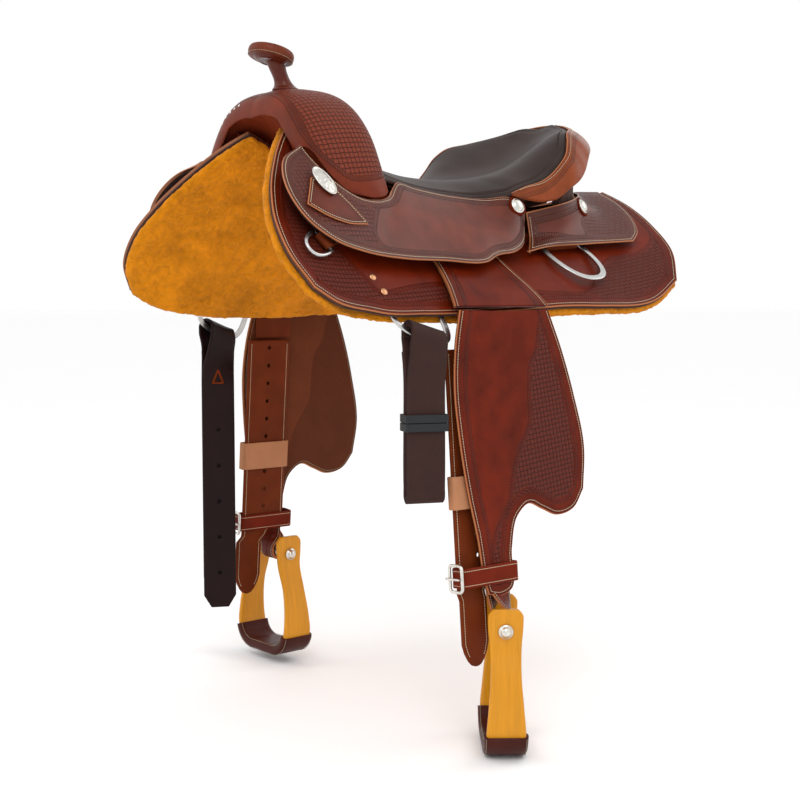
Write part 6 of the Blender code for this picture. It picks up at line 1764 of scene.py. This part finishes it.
def place_camera(scene):
    """Camera at the photograph's angle: azimuth 51.8 and elevation 4.4 degrees, 1.948 m from its target."""
    azimuth, elevation = math.radians(51.8), math.radians(4.4)
    back = Vector((math.sin(azimuth) * math.cos(elevation), -math.cos(azimuth) * math.cos(elevation),
                   math.sin(elevation)))
    right = Vector((math.cos(azimuth), math.sin(azimuth), 0))
    up = back.cross(right)
    camera = bpy.data.objects.new("camera", bpy.data.cameras.new("camera"))
    camera.data.sensor_width = 36
    camera.data.lens = 1311 / 800 * 36
    scene.collection.objects.link(camera)
    camera.matrix_world = (Matrix.Translation(Vector((0, 0.003, -0.221)) + 1.948 * back)
                           @ Matrix((right, up, back)).transposed().to_4x4())
    scene.camera = camera


# Add-on

def shade(label, red, green, blue):
    """A colour setting whose start value is given in 0 to 255."""
    return bpy.props.FloatVectorProperty(name=label, description=f"Base colour: {label.lower()}", size=4,
                                         subtype="COLOR", min=0, max=1, default=linear(red, green, blue))


def lamp(label, description, default):
    """A light's power in watts."""
    return bpy.props.FloatProperty(name=label, description=description, default=default, min=0, unit="POWER")


class SaddleLook(bpy.types.PropertyGroup):
    """Colours of the leathers, wood, fleece and threads, and the strengths of the lights."""
    panel: shade("Smooth skirts and fenders", 120, 34, 8)
    jockey: shade("Smooth jockeys", 116, 52, 36)
    stamped: shade("Stamped leather", 106, 44, 32)
    swell: shade("Smooth swell", 128, 50, 26)
    swell_stamped: shade("Stamped swell", 138, 62, 42)
    roll: shade("Cantle roll", 166, 82, 46)
    seat: shade("Seat", 64, 50, 46)
    horn: shade("Horn neck", 108, 44, 28)
    cap: shade("Horn cap", 128, 60, 38)
    strap: shade("Stirrup leathers and tabs", 118, 50, 20)
    tread: shade("Tread leather", 80, 34, 26)
    billet: shade("Billet", 36, 19, 18)
    binding: shade("Skirt lining", 96, 72, 66)
    sleeve: shade("Buckle sleeve", 190, 132, 96)
    flesh: shade("Rough back of leather", 118, 58, 28)
    edge: shade("Cut edges", 172, 106, 66)
    fleece: shade("Fleece", 240, 148, 12)
    wood: shade("Varnished wood", 232, 154, 8)
    webbing: shade("Latigo webbing", 62, 36, 31)
    band: shade("Latigo band", 38, 41, 43)
    thread: shade("Stitching", 232, 214, 180)
    lacing: shade("Seat lacing", 66, 34, 28)
    key_power: lamp("Key light", "Power of the main light", 24.0)
    fill_power: lamp("Fill light", "Power of the front light", 12.0)
    rear_power: lamp("Rear light", "Power of the rear light", 14.0)
    sky: bpy.props.FloatProperty(name="Sky", description="Brightness of the even light from all round",
                                 default=1.0, min=0)


class SADDLE_OT_swell(bpy.types.Operator):
    """Covers the swell in stamped leather and makes the wrapped horn"""
    bl_idname = "saddle.swell"
    bl_label = "Swell and horn"

    def execute(self, context):
        make_swell()
        make_horn()
        return {"FINISHED"}


class SADDLE_OT_seat(bpy.types.Operator):
    """Makes the padded seat with its lacing, and the cantle roll"""
    bl_idname = "saddle.seat"
    bl_label = "Seat and roll"

    def execute(self, context):
        make_seat()
        make_roll()
        return {"FINISHED"}


class SADDLE_OT_skirts(bpy.types.Operator):
    """Makes the tooled skirts, their lining and the fleece"""
    bl_idname = "saddle.skirts"
    bl_label = "Skirts and fleece"

    def execute(self, context):
        make_skirts()
        return {"FINISHED"}


class SADDLE_OT_jockeys(bpy.types.Operator):
    """Makes the seat and rear jockeys, the pointed tabs and the conchos"""
    bl_idname = "saddle.jockeys"
    bl_label = "Jockeys and conchos"

    def execute(self, context):
        make_jockeys()
        return {"FINISHED"}


class SADDLE_OT_rigging(bpy.types.Operator):
    """Makes the dees, the folded latigo and the billet"""
    bl_idname = "saddle.rigging"
    bl_label = "Rigging"

    def execute(self, context):
        bars = make_dees()
        make_latigo(*bars[1])
        make_billet(*bars[-1])
        return {"FINISHED"}


class SADDLE_OT_fenders(bpy.types.Operator):
    """Makes the fenders, stirrup leathers, sleeves and buckles"""
    bl_idname = "saddle.fenders"
    bl_label = "Fenders and leathers"

    def execute(self, context):
        for name, sign in SIDES.items():
            make_leathers(name, sign)
        return {"FINISHED"}


class SADDLE_OT_stirrups(bpy.types.Operator):
    """Makes the bent wood stirrups with their tread leather and bolts"""
    bl_idname = "saddle.stirrups"
    bl_label = "Stirrups"

    def execute(self, context):
        for name, sign in SIDES.items():
            make_stirrup(name, sign)
        return {"FINISHED"}


class SADDLE_OT_tree(bpy.types.Operator):
    """Gives the tree and the hidden leather their finishes"""
    bl_idname = "saddle.tree"
    bl_label = "Tree"

    def execute(self, context):
        dress_tree()
        return {"FINISHED"}


class SADDLE_OT_stage(bpy.types.Operator):
    """Makes the floor, the lights, the background and the camera"""
    bl_idname = "saddle.stage"
    bl_label = "Stage"

    def execute(self, context):
        make_stage()
        return {"FINISHED"}


OPERATORS = (SADDLE_OT_swell, SADDLE_OT_seat, SADDLE_OT_skirts, SADDLE_OT_jockeys, SADDLE_OT_rigging,
             SADDLE_OT_fenders, SADDLE_OT_stirrups, SADDLE_OT_tree, SADDLE_OT_stage)


class SADDLE_PT_panel(bpy.types.Panel):
    """Lists the steps that dress the saddle"""
    bl_label = "Reining saddle"
    bl_idname = "SADDLE_PT_panel"
    bl_space_type = "VIEW_3D"
    bl_region_type = "UI"
    bl_category = "Saddle"

    def draw(self, context):
        for step in OPERATORS:
            self.layout.operator(step.bl_idname)
        for key in SaddleLook.__annotations__:
            self.layout.prop(context.scene.saddle_look, key)


CLASSES = (SaddleLook,) + OPERATORS + (SADDLE_PT_panel,)


def register():
    for kind in CLASSES:
        bpy.utils.register_class(kind)
    bpy.types.Scene.saddle_look = bpy.props.PointerProperty(type=SaddleLook)


def unregister():
    del bpy.types.Scene.saddle_look
    for kind in reversed(CLASSES):
        bpy.utils.unregister_class(kind)


def main():
    register()
    shared_groups()
    for step in OPERATORS:
        getattr(bpy.ops.saddle, step.bl_idname.split(".")[1])()


if __name__ == "__main__":
    main()
